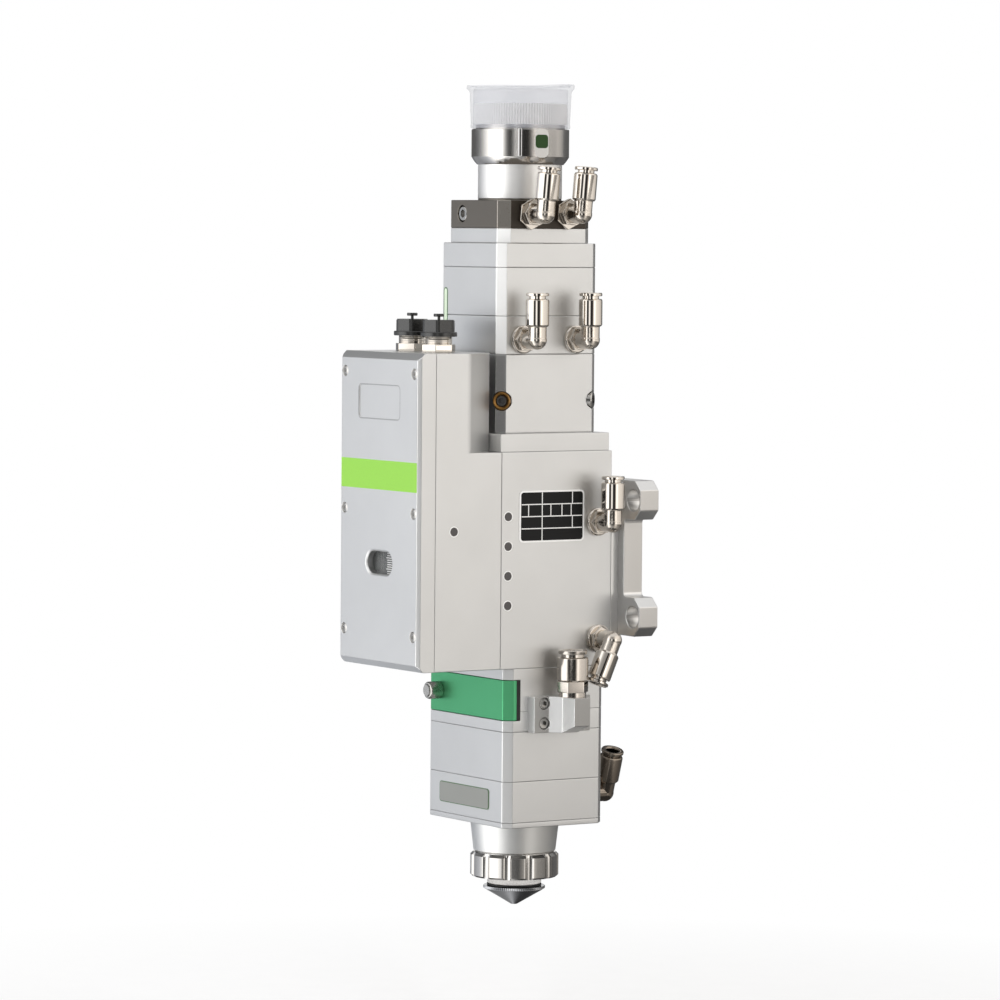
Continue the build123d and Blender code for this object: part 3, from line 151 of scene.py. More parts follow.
# Edge faces: a nearly white painted highlight on the column's corner chamfers, also used for the plugs' pale
# rims, and a grey painted shade on the centring block's corner in the notch, also used for the badge's frame
# line
pale_edge_and_painted_highlight = metal("pale_aluminium_edge_and_painted_highlight", "#fdfdfc", 0.64, 0.30, 0.006)
grey_edge_and_painted_shade = metal("grey_aluminium_edge_and_painted_shade", "#b4b3b2", 0.30, 0.30, 0.004)
# Turned aluminium: rings round the axis, too fine to feel
turned_aluminium = metal("turned_clear_anodised_aluminium", "#e4e4e2", 0.40, 0.30, 0.004, lines=(1, 1, 6))
# Green and brown dyes taken up by the anodised layer before it is sealed
green_anodised = metal("green_anodised_aluminium", "#5cb37f", 0.38, 0.35, 0.006)
brown_anodised = metal("brown_black_anodised_aluminium", "#736e67", 0.36, 0.30, 0.006)
# Copies of the brown for the cooling plate: painted shade on its right side, a painted highlight on its
# corner
brown_side_painted_shade = metal("brown_black_anodised_side_painted_shade", "#45403b", 0.42, 0.30, 0.006, lines=(1, 1, 4))
brown_edge_painted_highlight = metal("brown_black_anodised_edge_painted_highlight", "#9d9891", 0.30, 0.30, 0.004)
# Nickel plating on turned brass: a warm mirror
nickel = metal("polished_nickel_plate", "#d3ccc3", 0.06, 0.6, 0.001, tone=0.05, spread=0.03)
# One fitting sits low at the back in the body's shade, so its plating is painted darker and browner: painted
# shade
nickel_painted_shade = metal("nickel_plate_painted_shade", "#8f857a", 0.14, 0.8, 0.004, tone=0.10, spread=0.06)
# The same plating on cast corners keeps the casting's soft dents
nickel_cast = metal("nickel_plate_on_casting", "#d4ccc2", 0.15, 1.4, 0.050, tone=0.08, spread=0.08)
# Nickel plating that was tumbled: satin, with short scratches
nickel_satin = metal("tumbled_nickel_plate", "#c4bdb5", 0.14, 0.5, 0.004, tone=0.08, spread=0.10)
# Stainless steel, turned and lapped
bright_steel = metal("lapped_stainless_steel", "#cfccc8", 0.13, 0.35, 0.001, spread=0.06, lines=(1, 1, 8))
# Nozzle copper under hard chrome, a dark grey mirror
chromed_nozzle = metal("hard_chromed_nozzle", "#a3a4a7", 0.20, 0.30, 0.003, lines=(1, 1, 6))
knurled_steel = metal("knurled_steel", "#c2c0bb", 0.28, 0.30, 0.004)
# The neck was blasted with coarse grit, and single grains of it glint
coarse_blasted = metal("grit_blasted_aluminium", "#ecebe9", 0.46, 0.70, 0.060, tone=0.05)
# The bare plate on the sensor housing: rolled aluminium with a grey lacquer
pad_metal = metal("lacquered_rolled_aluminium", "#a8a8a2", 0.42, 0.40, 0.006)
screw_steel = metal("zinc_plated_screw_steel", "#bcbab6", 0.16, 0.30, 0.004, tone=0.08)
dark_steel_and_painted_shade = metal("blackened_steel_and_painted_shade", "#686664", 0.32, 0.30, 0.004)
aged_brass = metal("aged_brass", "#9c7440", 0.34, 0.40, 0.010, tone=0.2)
print("metals", len(bpy.data.materials))

# %% [markdown]
# ## Plastics, rubber, ceramic and glass
# These are not metals: their colour comes from inside, and a thin gloss lies on top. The
# dust cap is soft polyethylene, less than a millimetre thick: a pale veil over what is
# behind it. Each of its skins covers three tenths of the light and lets the rest straight on.

# %% The finishes that are not metal
def moulded(name, colour, roughness, grain_mm, depth_mm, **more):
    settings = {"IOR": 1.5, **more}
    return grained(name, settings, colour, roughness, 0.1, grain_mm, depth_mm, 3.0, (0.93, 1.05))


glazed_ceramic = moulded("glazed_zirconia_ceramic", "#fcf9f6", 0.28, 0.6, 0.004)
black_nylon = moulded("moulded_black_nylon", "#1b1b1a", 0.30, 0.4, 0.010, **{"Specular IOR Level": 0.7})
black_rubber_and_painted_shade = moulded("moulded_black_rubber_and_painted_shade", "#121211", 0.55, 0.4, 0.015)
dark_plug = moulded("dark_moulded_plug", "#4f4c4b", 0.45, 0.4, 0.010, **{"Specular IOR Level": 0.25})
motor_lacquer = moulded("black_motor_lacquer", "#1d1d1f", 0.35, 0.5, 0.008)
lime_print = moulded("lime_screen_print", "#8fce3f", 0.40, 0.3, 0.003)
strip_print = moulded("pale_green_printed_strip", "#dff0d6", 0.40, 0.3, 0.003)
strip_edge = moulded("dark_green_printed_edge", "#5f7a5c", 0.40, 0.3, 0.003)
dark_green_label = moulded("dark_green_label", "#23401a", 0.40, 0.3, 0.003, **{"Specular IOR Level": 0.2})
plate_print = moulded("black_printed_plate", "#0d0d0e", 0.40, 0.3, 0.003, **{"Specular IOR Level": 0.2})
pale_print = moulded("pale_printed_line", "#ecebe9", 0.40, 0.3, 0.002)
# The sleeve's grip is white acetal; one flank of each tooth gets a darker copy, a painted shade
white_grip = moulded("white_acetal_grip", "#fdfcfb", 0.35, 0.3, 0.003)
grip_painted_shade = moulded("white_acetal_grip_painted_shade", "#e3e1de", 0.50, 0.3, 0.003)
white_recess = moulded("pale_enamelled_recess", "#c9c7c3", 0.40, 0.3, 0.003)
milky = moulded("milky_polyethylene", "#cbcdd4", 0.22, 4.0, 0.002, **{"Alpha": 0.26})
clear_pane = moulded("clear_acrylic_pane", "#eef2f2", 0.05, 2.0, 0.0005, **{"Alpha": 0.08})
lens_glass = moulded("coated_optical_glass", "#eef3f2", 0.05, 2.0, 0.0005, **{"Transmission Weight": 0.95})
print("finishes", len(bpy.data.materials))

# %% [markdown]
# ## Making a piece
# Shapes are drawn in millimetres as on the drawing, in a bmesh, and one function ends
# each piece: it closes the seams, turns the faces outwards, scales to metres, shades it
# smooth except at sharp edges, and lets it ride on its body.

# %% From a bmesh to a riding piece
seam_gap = 0.0004


def finish_piece(bm, name, finishes, body, *stands_for, sharp=42, recalc=True):
    bmesh.ops.remove_doubles(bm, verts=bm.verts, dist=seam_gap)
    if recalc:
        bmesh.ops.recalc_face_normals(bm, faces=bm.faces)
    bmesh.ops.scale(bm, vec=(mm, mm, mm), verts=bm.verts)
    for face in bm.faces:
        face.smooth = True
    for edge in bm.edges:
        edge.smooth = edge.calc_face_angle(0) < math.radians(sharp)
    mesh = bpy.data.meshes.new(name)
    bm.to_mesh(mesh)
    bm.free()
    for finish in finishes if isinstance(finishes, list) else [finishes]:
        mesh.materials.append(finish)
    piece = bpy.data.objects.new(name, mesh)
    scene.collection.objects.link(piece)
    flat = piece.modifiers.new("flat_faces", "WEIGHTED_NORMAL")
    flat.weight = 100
    flat.keep_sharp = True
    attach(piece, body)
    if stands_for:
        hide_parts(*stands_for)
    return piece


print("one millimetre is", mm, "of the scene's metres")

# %% [markdown]
# A few operators shape nearly every piece. A bevel breaks its edges, an extrusion gives a
# flat outline its thickness, a plane cuts it into strips, and a spin turns a profile as a
# lathe does. A part can also be set down in another bmesh, at a place of its own.

# %% Bevel, thickness, cut and lathe
in_place = Matrix.Identity(4)


def soften(bm, width, segments=2, angle=30):
    sharp_edges = [e for e in bm.edges if e.is_manifold and e.calc_face_angle(0) > math.radians(angle)]
    bmesh.ops.bevel(
        bm, geom=sharp_edges, offset=width, offset_type="OFFSET", segments=segments,
        profile=0.5, affect="EDGES", clamp_overlap=False, material=-1,
    )


def grow(bm, way, faces=None):
    """Extrudes the faces and moves the new ones along a way."""
    grown = bmesh.ops.extrude_face_region(bm, geom=faces or bm.faces[:])["geom"]
    bmesh.ops.translate(bm, vec=way, verts=[g for g in grown if isinstance(g, bmesh.types.BMVert)])


def cut_at(bm, point, way):
    bmesh.ops.bisect_plane(bm, geom=bm.verts[:] + bm.edges[:] + bm.faces[:], plane_co=point, plane_no=way)


def turn_profile(bm, profile, steps=128):
    """Spins a closed outline of (radius, height) points once round the Z axis."""
    corners = [bm.verts.new((r, 0, z)) for r, z in profile]
    sides = [
        bm.edges.new((a, b)) for a, b in zip(corners, corners[1:] + corners[:1])
        if (a.co - b.co).length > 1e-6 and max(a.co.x, b.co.x) > 1e-6
    ]
    bmesh.ops.spin(
        bm, geom=corners + sides, axis=(0, 0, 1), cent=(0, 0, 0), angle=2 * math.pi,
        steps=steps, use_merge=True,
    )
    bmesh.ops.remove_doubles(bm, verts=bm.verts, dist=seam_gap)
    bmesh.ops.recalc_face_normals(bm, faces=bm.faces)


def set_down(bm, part, matrix):
    """Adds a finished part to a bmesh at a place of its own."""
    part.transform(matrix)
    scratch = bpy.data.meshes.new("scratch")
    part.to_mesh(scratch)
    part.free()
    bm.from_mesh(scratch)
    bpy.data.meshes.remove(scratch)


def turned_in(bm, profile, matrix=in_place, steps=64):
    part = bmesh.new()
    turn_profile(part, profile, steps)
    set_down(bm, part, matrix)


def turned_piece(profile, name, finish, body, *stands_for, steps=128, sharp=42, at=in_place):
    bm = bmesh.new()
    turned_in(bm, profile, at, steps)
    return finish_piece(bm, name, finish, body, *stands_for, sharp=sharp)


print("seams closer than", seam_gap, "mm are welded")

# %% [markdown]
# ## The machined blocks
# A milled block never has a knife edge: the machinist breaks each one by about a quarter
# of a millimetre, and that narrow band catches the light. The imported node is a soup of
# loose triangles, so a copy is merged, its flat faces are joined again, and then its
# edges are bevelled. A Weighted Normal modifier keeps the large faces flat in shading.

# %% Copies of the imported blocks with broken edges
flat_within = 0.6


def broken_edges(node, finish, width, cuts=(), body="root", segments=2):
    """Cuts are pairs of a way and the finish of the faces that look that way; these finishes are painted
    highlight and painted shade.
    """
    bm = bmesh.new()
    bm.from_mesh(nodes[node].data)
    bmesh.ops.scale(bm, vec=(1000, 1000, 1000), verts=bm.verts)
    bmesh.ops.remove_doubles(bm, verts=bm.verts, dist=0.001)
    bmesh.ops.dissolve_limit(
        bm, angle_limit=math.radians(flat_within), use_dissolve_boundaries=False,
        verts=bm.verts, edges=bm.edges, delimit=set(),
    )
    for number, (way, _) in enumerate(cuts, 1):
        for face in bm.faces:
            if face.normal.dot(way) > 0.99:
                face.material_index = number
    soften(bm, width, segments)
    finishes = [finish] + [cut_finish for _, cut_finish in cuts]
    return finish_piece(bm, "dressed_" + node, finishes, body, node, sharp=60, recalc=False)


# A painted highlight on the column's and the cooling plate's front right corners, painted shade on the
# centring block's corner and on some right sides, and the gas block painted lighter as a whole
corner_way, side_way = Vector((1, -1, 0)).normalized(), Vector((1, 0, 0))
corner_painted_highlight = [(corner_way, pale_edge_and_painted_highlight)]
block_finish = {
    "base_plate": (blasted, 0.28, ()),
    "sensor_module": (blasted, 0.34, ()),
    "gas_module": (blasted, 0.34, ()),
    "window_module": (blasted, 0.34, ()),
    "drawer_housing": (blasted, 0.25, ()),
    "main_body": (blasted, 0.38, ()),
    "body_flange": (blasted, 0.3, ()),
    "motor_housing": (blasted, 0.38, ()),
    "housing_cover": (blasted, 0.25, ()),
    "mounting_bracket": (milled, 0.45, [(side_way, milled_side_painted_shade)]),
    "bracket_spacer": (milled, 0.25, ()),
    "centring_block": (blasted, 0.4, [(corner_way, grey_edge_and_painted_shade)]),
    "collimator_lower": (blasted, 0.4, corner_painted_highlight),
    "collimator_middle": (blasted, 0.4, corner_painted_highlight),
    "collimator_upper": (blasted, 0.4, corner_painted_highlight),
    "spacer_plate": (blasted, 0.35, corner_painted_highlight),
    "cooling_plate": (brown_anodised, 0.35, [(corner_way, brown_edge_painted_highlight), (side_way, brown_side_painted_shade)]),
    "gas_block": (gas_block_painted_light, 0.25, [(side_way, gas_block_side_painted_shade)]),
}
for node, (finish, width, cuts) in block_finish.items():
    broken_edges(node, finish, width, cuts)
broken_edges("window_drawer", green_anodised, 0.25, body="window_drawer")
broken_edges("drawer_gasket", black_rubber_and_painted_shade, 0.15, body="window_drawer")
broken_edges("focus_carriage", milled, 0.15, body="focus_carriage", segments=1)
print("blocks", len(block_finish) + 3)

# %% [markdown]
# ## The inner pieces
# The optics and the focus drive are seen only through the small window or when the
# drawer is out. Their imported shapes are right, so they only get their finishes.

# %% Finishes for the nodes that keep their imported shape
inner_finish = {
    "drive_frame": bright_steel, "drive_motor": motor_lacquer, "lead_screw": bright_steel,
    "focusing_lens": lens_glass, "collimating_lens": lens_glass, "protective_window": lens_glass,
    "lens_cell": milled, "centring_stage": milled,
}
for node, finish in inner_finish.items():
    nodes[node].data.materials.clear()
    nodes[node].data.materials.append(finish)
print("inner pieces", len(inner_finish))

# %% [markdown]
# ## Nozzle, ceramic ring and lock nut
# The nozzle is a steep cone with a knurled rim for the fingers. Knurling is a ring of
# small teeth, so after the spin every other column of the rim is drawn in a little.

# %% Turn the nozzle and draw in its knurl
nozzle_back_z = 9.72
nozzle_rim_r = 14


def in_steps(bm, radius, low, high, depth, teeth):
    """Draws in every other column of the vertices that lie on a rim."""
    for vert in bm.verts:
        if low - 0.01 <= vert.co.z <= high + 0.01 and abs(vert.co.xy.length - radius) < 0.02:
            if round(math.atan2(vert.co.y, vert.co.x) / (2 * math.pi) * 2 * teeth) % 2:
                vert.co.xy *= (radius - depth) / radius


bm = bmesh.new()
turn_profile(bm, [
    (0.75, 0.1), (0.85, 0), (1.45, 0), (1.6, 0.08), (12.5, 6.5), (12.75, 6.72), (13.9, 7.4),
    (nozzle_rim_r, 7.5), (nozzle_rim_r, 8.4), (13.85, 8.6), (11.7, 8.65), (11.7, nozzle_back_z),
    (5.5, nozzle_back_z), (5.5, 15.8), (5.3, 16.02), (4, 16.02), (4, nozzle_back_z), (0.75, 1.5),
], steps=180)
in_steps(bm, nozzle_rim_r, 7.4, 8.45, 0.3, 90)
finish_piece(bm, "nozzle_turned", chromed_nozzle, "nozzle", "nozzle", sharp=28)
# A black ring in the gap between the rim and the ceramic is painted shade
turned_piece(
    [(11.72, 8.67), (12.15, 8.67), (12.35, 8.9), (12.35, 9.45), (12.15, 9.7), (11.72, 9.7)],
    "nozzle_gap_shade_ring", black_rubber_and_painted_shade, "nozzle",
)
print("nozzle rim", 2 * nozzle_rim_r, "mm across")

# %% [markdown]
# The white ring is zirconia, which keeps the nozzle apart from the head electrically. It
# is ground and glazed, so its rims stay crisp and its side is an even, glossy white.

# %% Turn the ceramic ring
ceramic_flange_z = nozzle_back_z + 4.9
ceramic_top_z = ceramic_flange_z + 4.3
turned_piece([
    (5.55, nozzle_back_z), (11.9, nozzle_back_z), (12.3, nozzle_back_z + 0.4), (12.3, ceramic_flange_z),
    (15.5, ceramic_flange_z), (15.5, ceramic_top_z), (5.55, ceramic_top_z),
], "ceramic_ring_glazed", glazed_ceramic, "root", "ceramic_ring")
print("ceramic ring to", round(ceramic_top_z, 2), "mm")

# %% [markdown]
# The lock nut's twelve flutes are round, as left by a ball-nosed cutter that runs down
# the side. A circle of many points is pulled in wherever it would lie inside the cutter,
# and the outline is then raised to the nut's height.

# %% The fluted lock nut
nut_low_z = ceramic_flange_z - 1.6
nut_top_z = nut_low_z + 11.1
nut_r, nut_crown_r, nut_bore_r = 20.0, 18.7, 17.05
flute_r, flute_depth, flute_count = 2.5, 1.1, 12
flute_centre_r = nut_r + flute_r - flute_depth
flute_phase = math.radians(17.6)
nut_steps = 480


def fluted_radius(angle):
    pitch = 2 * math.pi / flute_count
    off = (angle - flute_phase + pitch / 2) % pitch - pitch / 2
    reach = flute_r ** 2 - (flute_centre_r * math.sin(off)) ** 2
    return min(nut_r, flute_centre_r * math.cos(off) - math.sqrt(reach)) if reach > 0 else nut_r


bm = bmesh.new()
for vert in bmesh.ops.create_circle(bm, segments=nut_steps, radius=nut_r)["verts"]:
    vert.co.xy *= fluted_radius(math.atan2(vert.co.y, vert.co.x)) / nut_r
bmesh.ops.create_circle(bm, segments=nut_steps, radius=nut_bore_r)
bmesh.ops.bridge_loops(bm, edges=bm.edges)
bmesh.ops.translate(bm, vec=(0, 0, nut_low_z), verts=bm.verts)
grow(bm, (0, 0, nut_top_z - nut_low_z))
bmesh.ops.recalc_face_normals(bm, faces=bm.faces)
for vert in bm.verts:
    if vert.co.z > nut_top_z - 0.01 and vert.co.xy.length > nut_crown_r:
        vert.co.xy *= nut_crown_r / vert.co.xy.length
for height in (nut_top_z - 1.3, nut_low_z + 0.8):
    cut_at(bm, (0, 0, height), (0, 0, 1))
for vert in bm.verts:
    angle = math.atan2(vert.co.y, vert.co.x)
    side_r = fluted_radius(angle)
    if vert.co.z < nut_low_z + 0.01:
        side_r = min(side_r, nut_r - 0.8)
    if vert.co.z < nut_top_z - 0.5 and vert.co.xy.length > 17.5:
        vert.co.xy = side_r * math.cos(angle), side_r * math.sin(angle)
finish_piece(bm, "lock_nut_fluted", bright_steel, "lock_nut", "lock_nut", sharp=24)
# The lip that holds the ceramic's flange closes the nut from below
turned_piece([
    (12.6, nut_low_z), (17.4, nut_low_z), (17.4, ceramic_flange_z), (12.6, ceramic_flange_z),
], "lock_nut_lip", bright_steel, "lock_nut")
print("flutes", flute_count, "each", round(flute_depth, 2), "mm deep")

# %% [markdown]
# The sensor cone above the nut is turned from one bar and anodised clear. The cutter's
# marks run round it, so the light spreads up and down but keeps its bands from side to side.

# %% The sensor cone, turned
cone_z = ceramic_top_z + 5.5
cone_top_z = cone_z + 14.5
turned_piece([
    (6, ceramic_top_z), (17, ceramic_top_z), (17, cone_z), (18.0, cone_z), (18.6, cone_z + 0.6),
    (20.2, cone_top_z), (13, cone_top_z),
], "sensor_cone_turned", turned_aluminium, "root", "sensor_cone", steps=160, sharp=28)
print("cone from", round(cone_z, 2), "to", round(cone_top_z, 2), "mm")

# %% [markdown]
# ## Fibre end
# The neck is blasted aluminium, the locking sleeve polished steel. The sleeve's white grip
# has 104 straight teeth, a little over a millimetre apart. Every other column of its rim
# is drawn in, and one flank of each tooth is painted darker, a painted shade.

# %% Neck, foot ring and locking sleeve
foot_z = 318.32
neck_low_z = foot_z + 1.6
sleeve_low_z = neck_low_z + 14.4
neck_high_z = sleeve_low_z + 26
sleeve_high_z = sleeve_low_z + 15.9
grip_low_z = sleeve_high_z + 2.0
grip_high_z = grip_low_z + 9.4
grip_r, grip_teeth = 21, 104

turned_piece([
    (6, foot_z + 0.7), (18.7, foot_z + 0.7), (18.9, foot_z + 0.9), (18.9, sleeve_low_z), (15, sleeve_low_z),
    (15, neck_high_z - 0.3), (14.7, neck_high_z), (12.3, neck_high_z), (12, neck_high_z - 0.3),
    (12, neck_low_z + 5), (6, neck_low_z + 5),
], "fibre_neck", coarse_blasted, "root", "fibre_receptacle")
turned_piece([
    (6, foot_z), (18.8, foot_z), (18.8, foot_z + 0.5), (18.6, foot_z + 0.7), (6, foot_z + 0.7),
], "fibre_foot_ring", brown_anodised, "root")
turned_piece([
    (15.05, sleeve_low_z), (19.4, sleeve_low_z), (19.65, sleeve_low_z + 0.2), (20.7, sleeve_low_z + 1.4),
    (21.8, sleeve_low_z + 3.1), (22, sleeve_low_z + 3.5), (22, sleeve_high_z - 0.3), (21.7, sleeve_high_z),
    (20, sleeve_high_z), (20, grip_low_z), (15.05, grip_low_z),
], "locking_sleeve_turned", bright_steel, "locking_sleeve", "locking_sleeve", steps=192, sharp=24)
bm = bmesh.new()
turn_profile(bm, [
    (15.05, grip_low_z), (20.6, grip_low_z), (grip_r, grip_low_z + 0.4), (grip_r, grip_high_z - 0.4),
    (20.6, grip_high_z), (15.05, grip_high_z),
], steps=2 * grip_teeth)
in_steps(bm, grip_r, grip_low_z, grip_high_z, 0.65, grip_teeth)
# One flank of each tooth takes the painted shade
for face in bm.faces:
    centre = face.calc_center_median()
    if centre.xy.length > 20.2:
        turn = math.atan2(centre.y, centre.x) / (2 * math.pi)
        face.material_index = math.floor(turn * 2 * grip_teeth) % 2
finish_piece(bm, "sleeve_grip_knurl", [white_grip, grip_painted_shade], "locking_sleeve", sharp=50)
print("grip teeth", grip_teeth, "pitch", round(2 * math.pi * grip_r / grip_teeth, 2), "mm")

# %% [markdown]
# Small plates that lie on a round wall are bent to it: a flat outline is drawn, cut into
# strips, given its thickness and wrapped round the axis at its radius.

# %% Plates wrapped round the sleeve
def rounded_outline(bm, width, height, corner, steps=6):
    """A flat rounded rectangle in the XZ plane, facing -Y."""
    places = []
    for cx, cz, start in (
        (width / 2 - corner, height / 2 - corner, 0), (-width / 2 + corner, height / 2 - corner, 90),
        (-width / 2 + corner, -height / 2 + corner, 180), (width / 2 - corner, -height / 2 + corner, 270),
    ):
        for step in range(steps + 1):
            angle = math.radians(start + 90 * step / steps)
            places.append((cx + corner * math.cos(angle), 0, cz + corner * math.sin(angle)))
    face = bm.faces.new([bm.verts.new(place) for place in places])
    face.normal_update()
    if face.normal.y > 0:
        face.normal_flip()
    return face


def wrapped_plate(name, finish, width, height, corner, radius, thickness, azimuth, middle_z, strips=8):
    bm = bmesh.new()
    rounded_outline(bm, width, height, corner)
    for cut in range(1, strips):
        cut_at(bm, (width * (cut / strips - 0.5), 0, 0), (1, 0, 0))
    grow(bm, (0, -thickness, 0))
    bmesh.ops.recalc_face_normals(bm, faces=bm.faces)
    for vert in bm.verts:
        angle = math.radians(azimuth - 90) + vert.co.x / radius
        out = radius - vert.co.y
        vert.co = (out * math.cos(angle), out * math.sin(angle), middle_z + vert.co.z)
    return finish_piece(bm, name, finish, "locking_sleeve", sharp=35)


camera_azimuth = 57.6
inlay_azimuth = camera_azimuth + 26
wrapped_plate("sleeve_line", pale_print, 1.7, 12.4, 0.3, 21.98, 0.05, camera_azimuth - 0.6, 344.1)
wrapped_plate("sleeve_line_core", dark_steel_and_painted_shade, 0.8, 12.2, 0.3, 22.0, 0.06, camera_azimuth - 0.2, 344.1)
wrapped_plate("sleeve_inlay", white_recess, 6.8, 12.8, 2.6, 21.98, 0.06, inlay_azimuth, 343.8)
wrapped_plate("sleeve_label", dark_green_label, 6.2, 6.0, 1.5, 22.0, 0.1, inlay_azimuth, 344.6)
print("sleeve marks at azimuth", camera_azimuth, "and", inlay_azimuth)

# %% [markdown]
# ## Dust cap
# A soft moulded cap is never quite round or flat: its lip waves by a few tenths of a
# millimetre. The wall is spun as a closed outline and the lip's points are then moved.

# %% The milky cap with its wavy lip
cap_low_z = sleeve_high_z + 0.3
cap_high_z = cap_low_z + 20.1
lip_low_z = 366.9
bm = bmesh.new()
turn_profile(bm, [
    (21.3, cap_low_z), (22.2, cap_low_z), (22.45, cap_low_z + 0.3), (22.45, cap_low_z + 1.7),
    (22.3, cap_low_z + 2.0), (22.75, 362), (22.85, 366.4), (23.2, 367.3), (24.1, 368.2),
    (24.3, 368.6), (24.3, 369.7), (24.0, 370.1), (23.2, 370.0), (22.6, 369.4), (22.0, 369.1), (0, 369.1),
    (0, 368.1), (20.9, 368.1), (21.3, 367.6),
], steps=160)
to_right = Vector((0.535, 0.845))
to_camera = Vector((0.845, -0.535))
for vert in bm.verts:
    if vert.co.z > lip_low_z and vert.co.xy.length > 22.5:
        share = min(1, (vert.co.z - lip_low_z) / 2)
        way = vert.co.xy.normalized()
        sag = 0.65 * max(0, way.dot(to_camera)) ** 2
        ripple = 0.10 * math.sin(5 * math.atan2(way.y, way.x))
        vert.co.z += share * (0.38 * way.dot(to_right) - sag + ripple)
        vert.co.z = min(vert.co.z, cap_high_z)
finish_piece(bm, "dust_cap_moulded", milky, "dust_cap", "dust_cap", sharp=50)
print("cap top", round(cap_high_z, 2), "mm")

# %% [markdown]
# ## Push-in elbows
# One elbow is made once in its own frame, with Z out of the wall and X along the tube,
# and then placed seven times. The screwed base and its hexagon stay on the head, the
# corner and sleeve swivel, and the ring in the mouth is pressed to free the tube.

# %% Seats of the seven elbows: wall point, way out of the wall, way of the tube
def leaning(degrees):
    return (0, math.sin(math.radians(degrees)), math.cos(math.radians(degrees)))


rear_lean = math.radians(18)
elbow_seats = {
    "head_front": ((23.9, -9.7, 312.12), (1, 0, 0), leaning(5)),
    "head_rear": ((23.9, 10.0, 312.32), (1, 0, 0), leaning(5)),
    "collimator_front": ((25.75, -14.65, 256.42), (1, 0, 0), leaning(0)),
    "collimator_rear": ((25.75, 13.5, 256.42), (1, 0, 0), leaning(0)),
    "body_upper": ((33.9, 20.95, 174.82), (1, 0, 0), leaning(0)),
    "body_lower": ((33.9, 21.45, 122.42), (1, 0, 0), leaning(203.5)),
    "sensor_rear": ((14.8, 26.35, 50.22), (0, 1, 0), (math.sin(rear_lean), 0, math.cos(rear_lean))),
}


def seat_matrix(origin, outward, tube_way):
    z, x = Vector(outward), Vector(tube_way)
    y = z.cross(x)
    return Matrix.Translation(origin) @ Matrix((x, y, z)).transposed().to_4x4()


def hexagon(bm, across_flats, low, high, corner_cut, turn=0.0):
    """A hexagonal nut whose corners are turned down at both ends."""
    corner_r = across_flats / math.sqrt(3)
    made = bmesh.ops.create_cone(
        bm, cap_ends=True, segments=6, radius1=corner_r, radius2=corner_r, depth=high - low,
        matrix=Matrix.Translation((0, 0, (low + high) / 2)) @ Matrix.Rotation(turn, 4, "Z"),
    )["verts"]
    bmesh.ops.bevel(
        bm, geom=list({e for v in made for e in v.link_edges}), offset=corner_cut, offset_type="OFFSET",
        segments=2, profile=0.5, affect="EDGES", clamp_overlap=True, material=-1,
    )


print("seats", len(elbow_seats))

# %% [markdown]
# Each piece of an elbow is turned in its own frame and set down at the seat. The corner
# is two short turned stubs that meet in a ball. Its plating lies on a casting, so it is
# duller than the sleeve, and the stubs' rims are rounded as the casting's are.

# %% The seven elbows
standoff = 12.5
to_tube = Matrix.Translation((0, 0, standoff)) @ Matrix.Rotation(math.radians(90), 4, "Y")
base_rim = [(0, 0), (6.05, 0), (6.25, 0.2), (6.25, 1.6), (5.9, 2.0), (5.5, 2.2), (0, 2.2)]
sleeve_profile = [
    (1.8, 6.0), (4.5, 6.0), (4.75, 6.08), (5.25, 6.75), (5.25, 17.4), (5.1, 17.9), (4.7, 18.3), (3.9, 18.3),
    (3.9, 12.2), (3.05, 12.2), (3.05, 7.0), (1.8, 7.0),
]
ring_profile = [
    (3.1, 13.3), (3.7, 13.3), (3.7, 19.5), (4.85, 19.5), (5.15, 19.75), (5.15, 20.65), (4.85, 21.0),
    (4.1, 21.0), (3.55, 20.85), (3.1, 20.3),
]
for name, (origin, outward, tube_way) in elbow_seats.items():
    seat = seat_matrix(origin, outward, tube_way)
    polished, cast = (nickel_painted_shade, nickel_painted_shade) if name == "sensor_rear" else (nickel, nickel_cast)
    along = {"at": seat @ to_tube, "steps": 64}
    turned_piece(sleeve_profile, f"elbow_sleeve_{name}", polished, f"elbow_{name}", sharp=28, **along)
    bm = bmesh.new()
    turned_in(bm, [(0, 5.25), (3.9, 5.25), (4.1, 5.5), (4.1, standoff + 0.5), (0, standoff + 0.5)], seat)
    turned_in(bm, [(0, -0.5), (4.1, -0.5), (4.1, 5.5), (4.3, 6.05), (0, 6.05)], seat @ to_tube)
    bmesh.ops.create_uvsphere(
        bm, u_segments=48, v_segments=32, radius=4.25,
        matrix=seat @ Matrix.Translation((0, 0, standoff)),
    )
    finish_piece(bm, f"elbow_corner_{name}", cast, f"elbow_{name}", f"elbow_{name}", sharp=40)
    ring_body = f"release_ring_{name}"
    turned_piece(ring_profile, f"elbow_ring_{name}", polished, ring_body, ring_body, sharp=35, **along)
    bm = bmesh.new()
    if name.startswith("head"):
        hexagon(bm, 12.3, 0, 2.2, 0.35, math.radians(30))
    else:
        turned_in(bm, base_rim)
    hexagon(bm, 9.6, 2.15, 4.6, 0.25)
    turned_in(bm, [(0, 4.5), (4.6, 4.5), (4.6, 5.0), (4.4, 5.1), (0, 5.1)])
    bm.transform(seat)
    finish_piece(bm, f"elbow_base_{name}", polished, "root", sharp=30)
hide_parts("elbow_stems")
print("elbows", len(elbow_seats))

# %% [markdown]
# ## Gas fitting
# The straight fitting on the gas block takes the thicker cutting-gas hose. It is tumbled
# nickel rather than polished, with fine scratches all over.

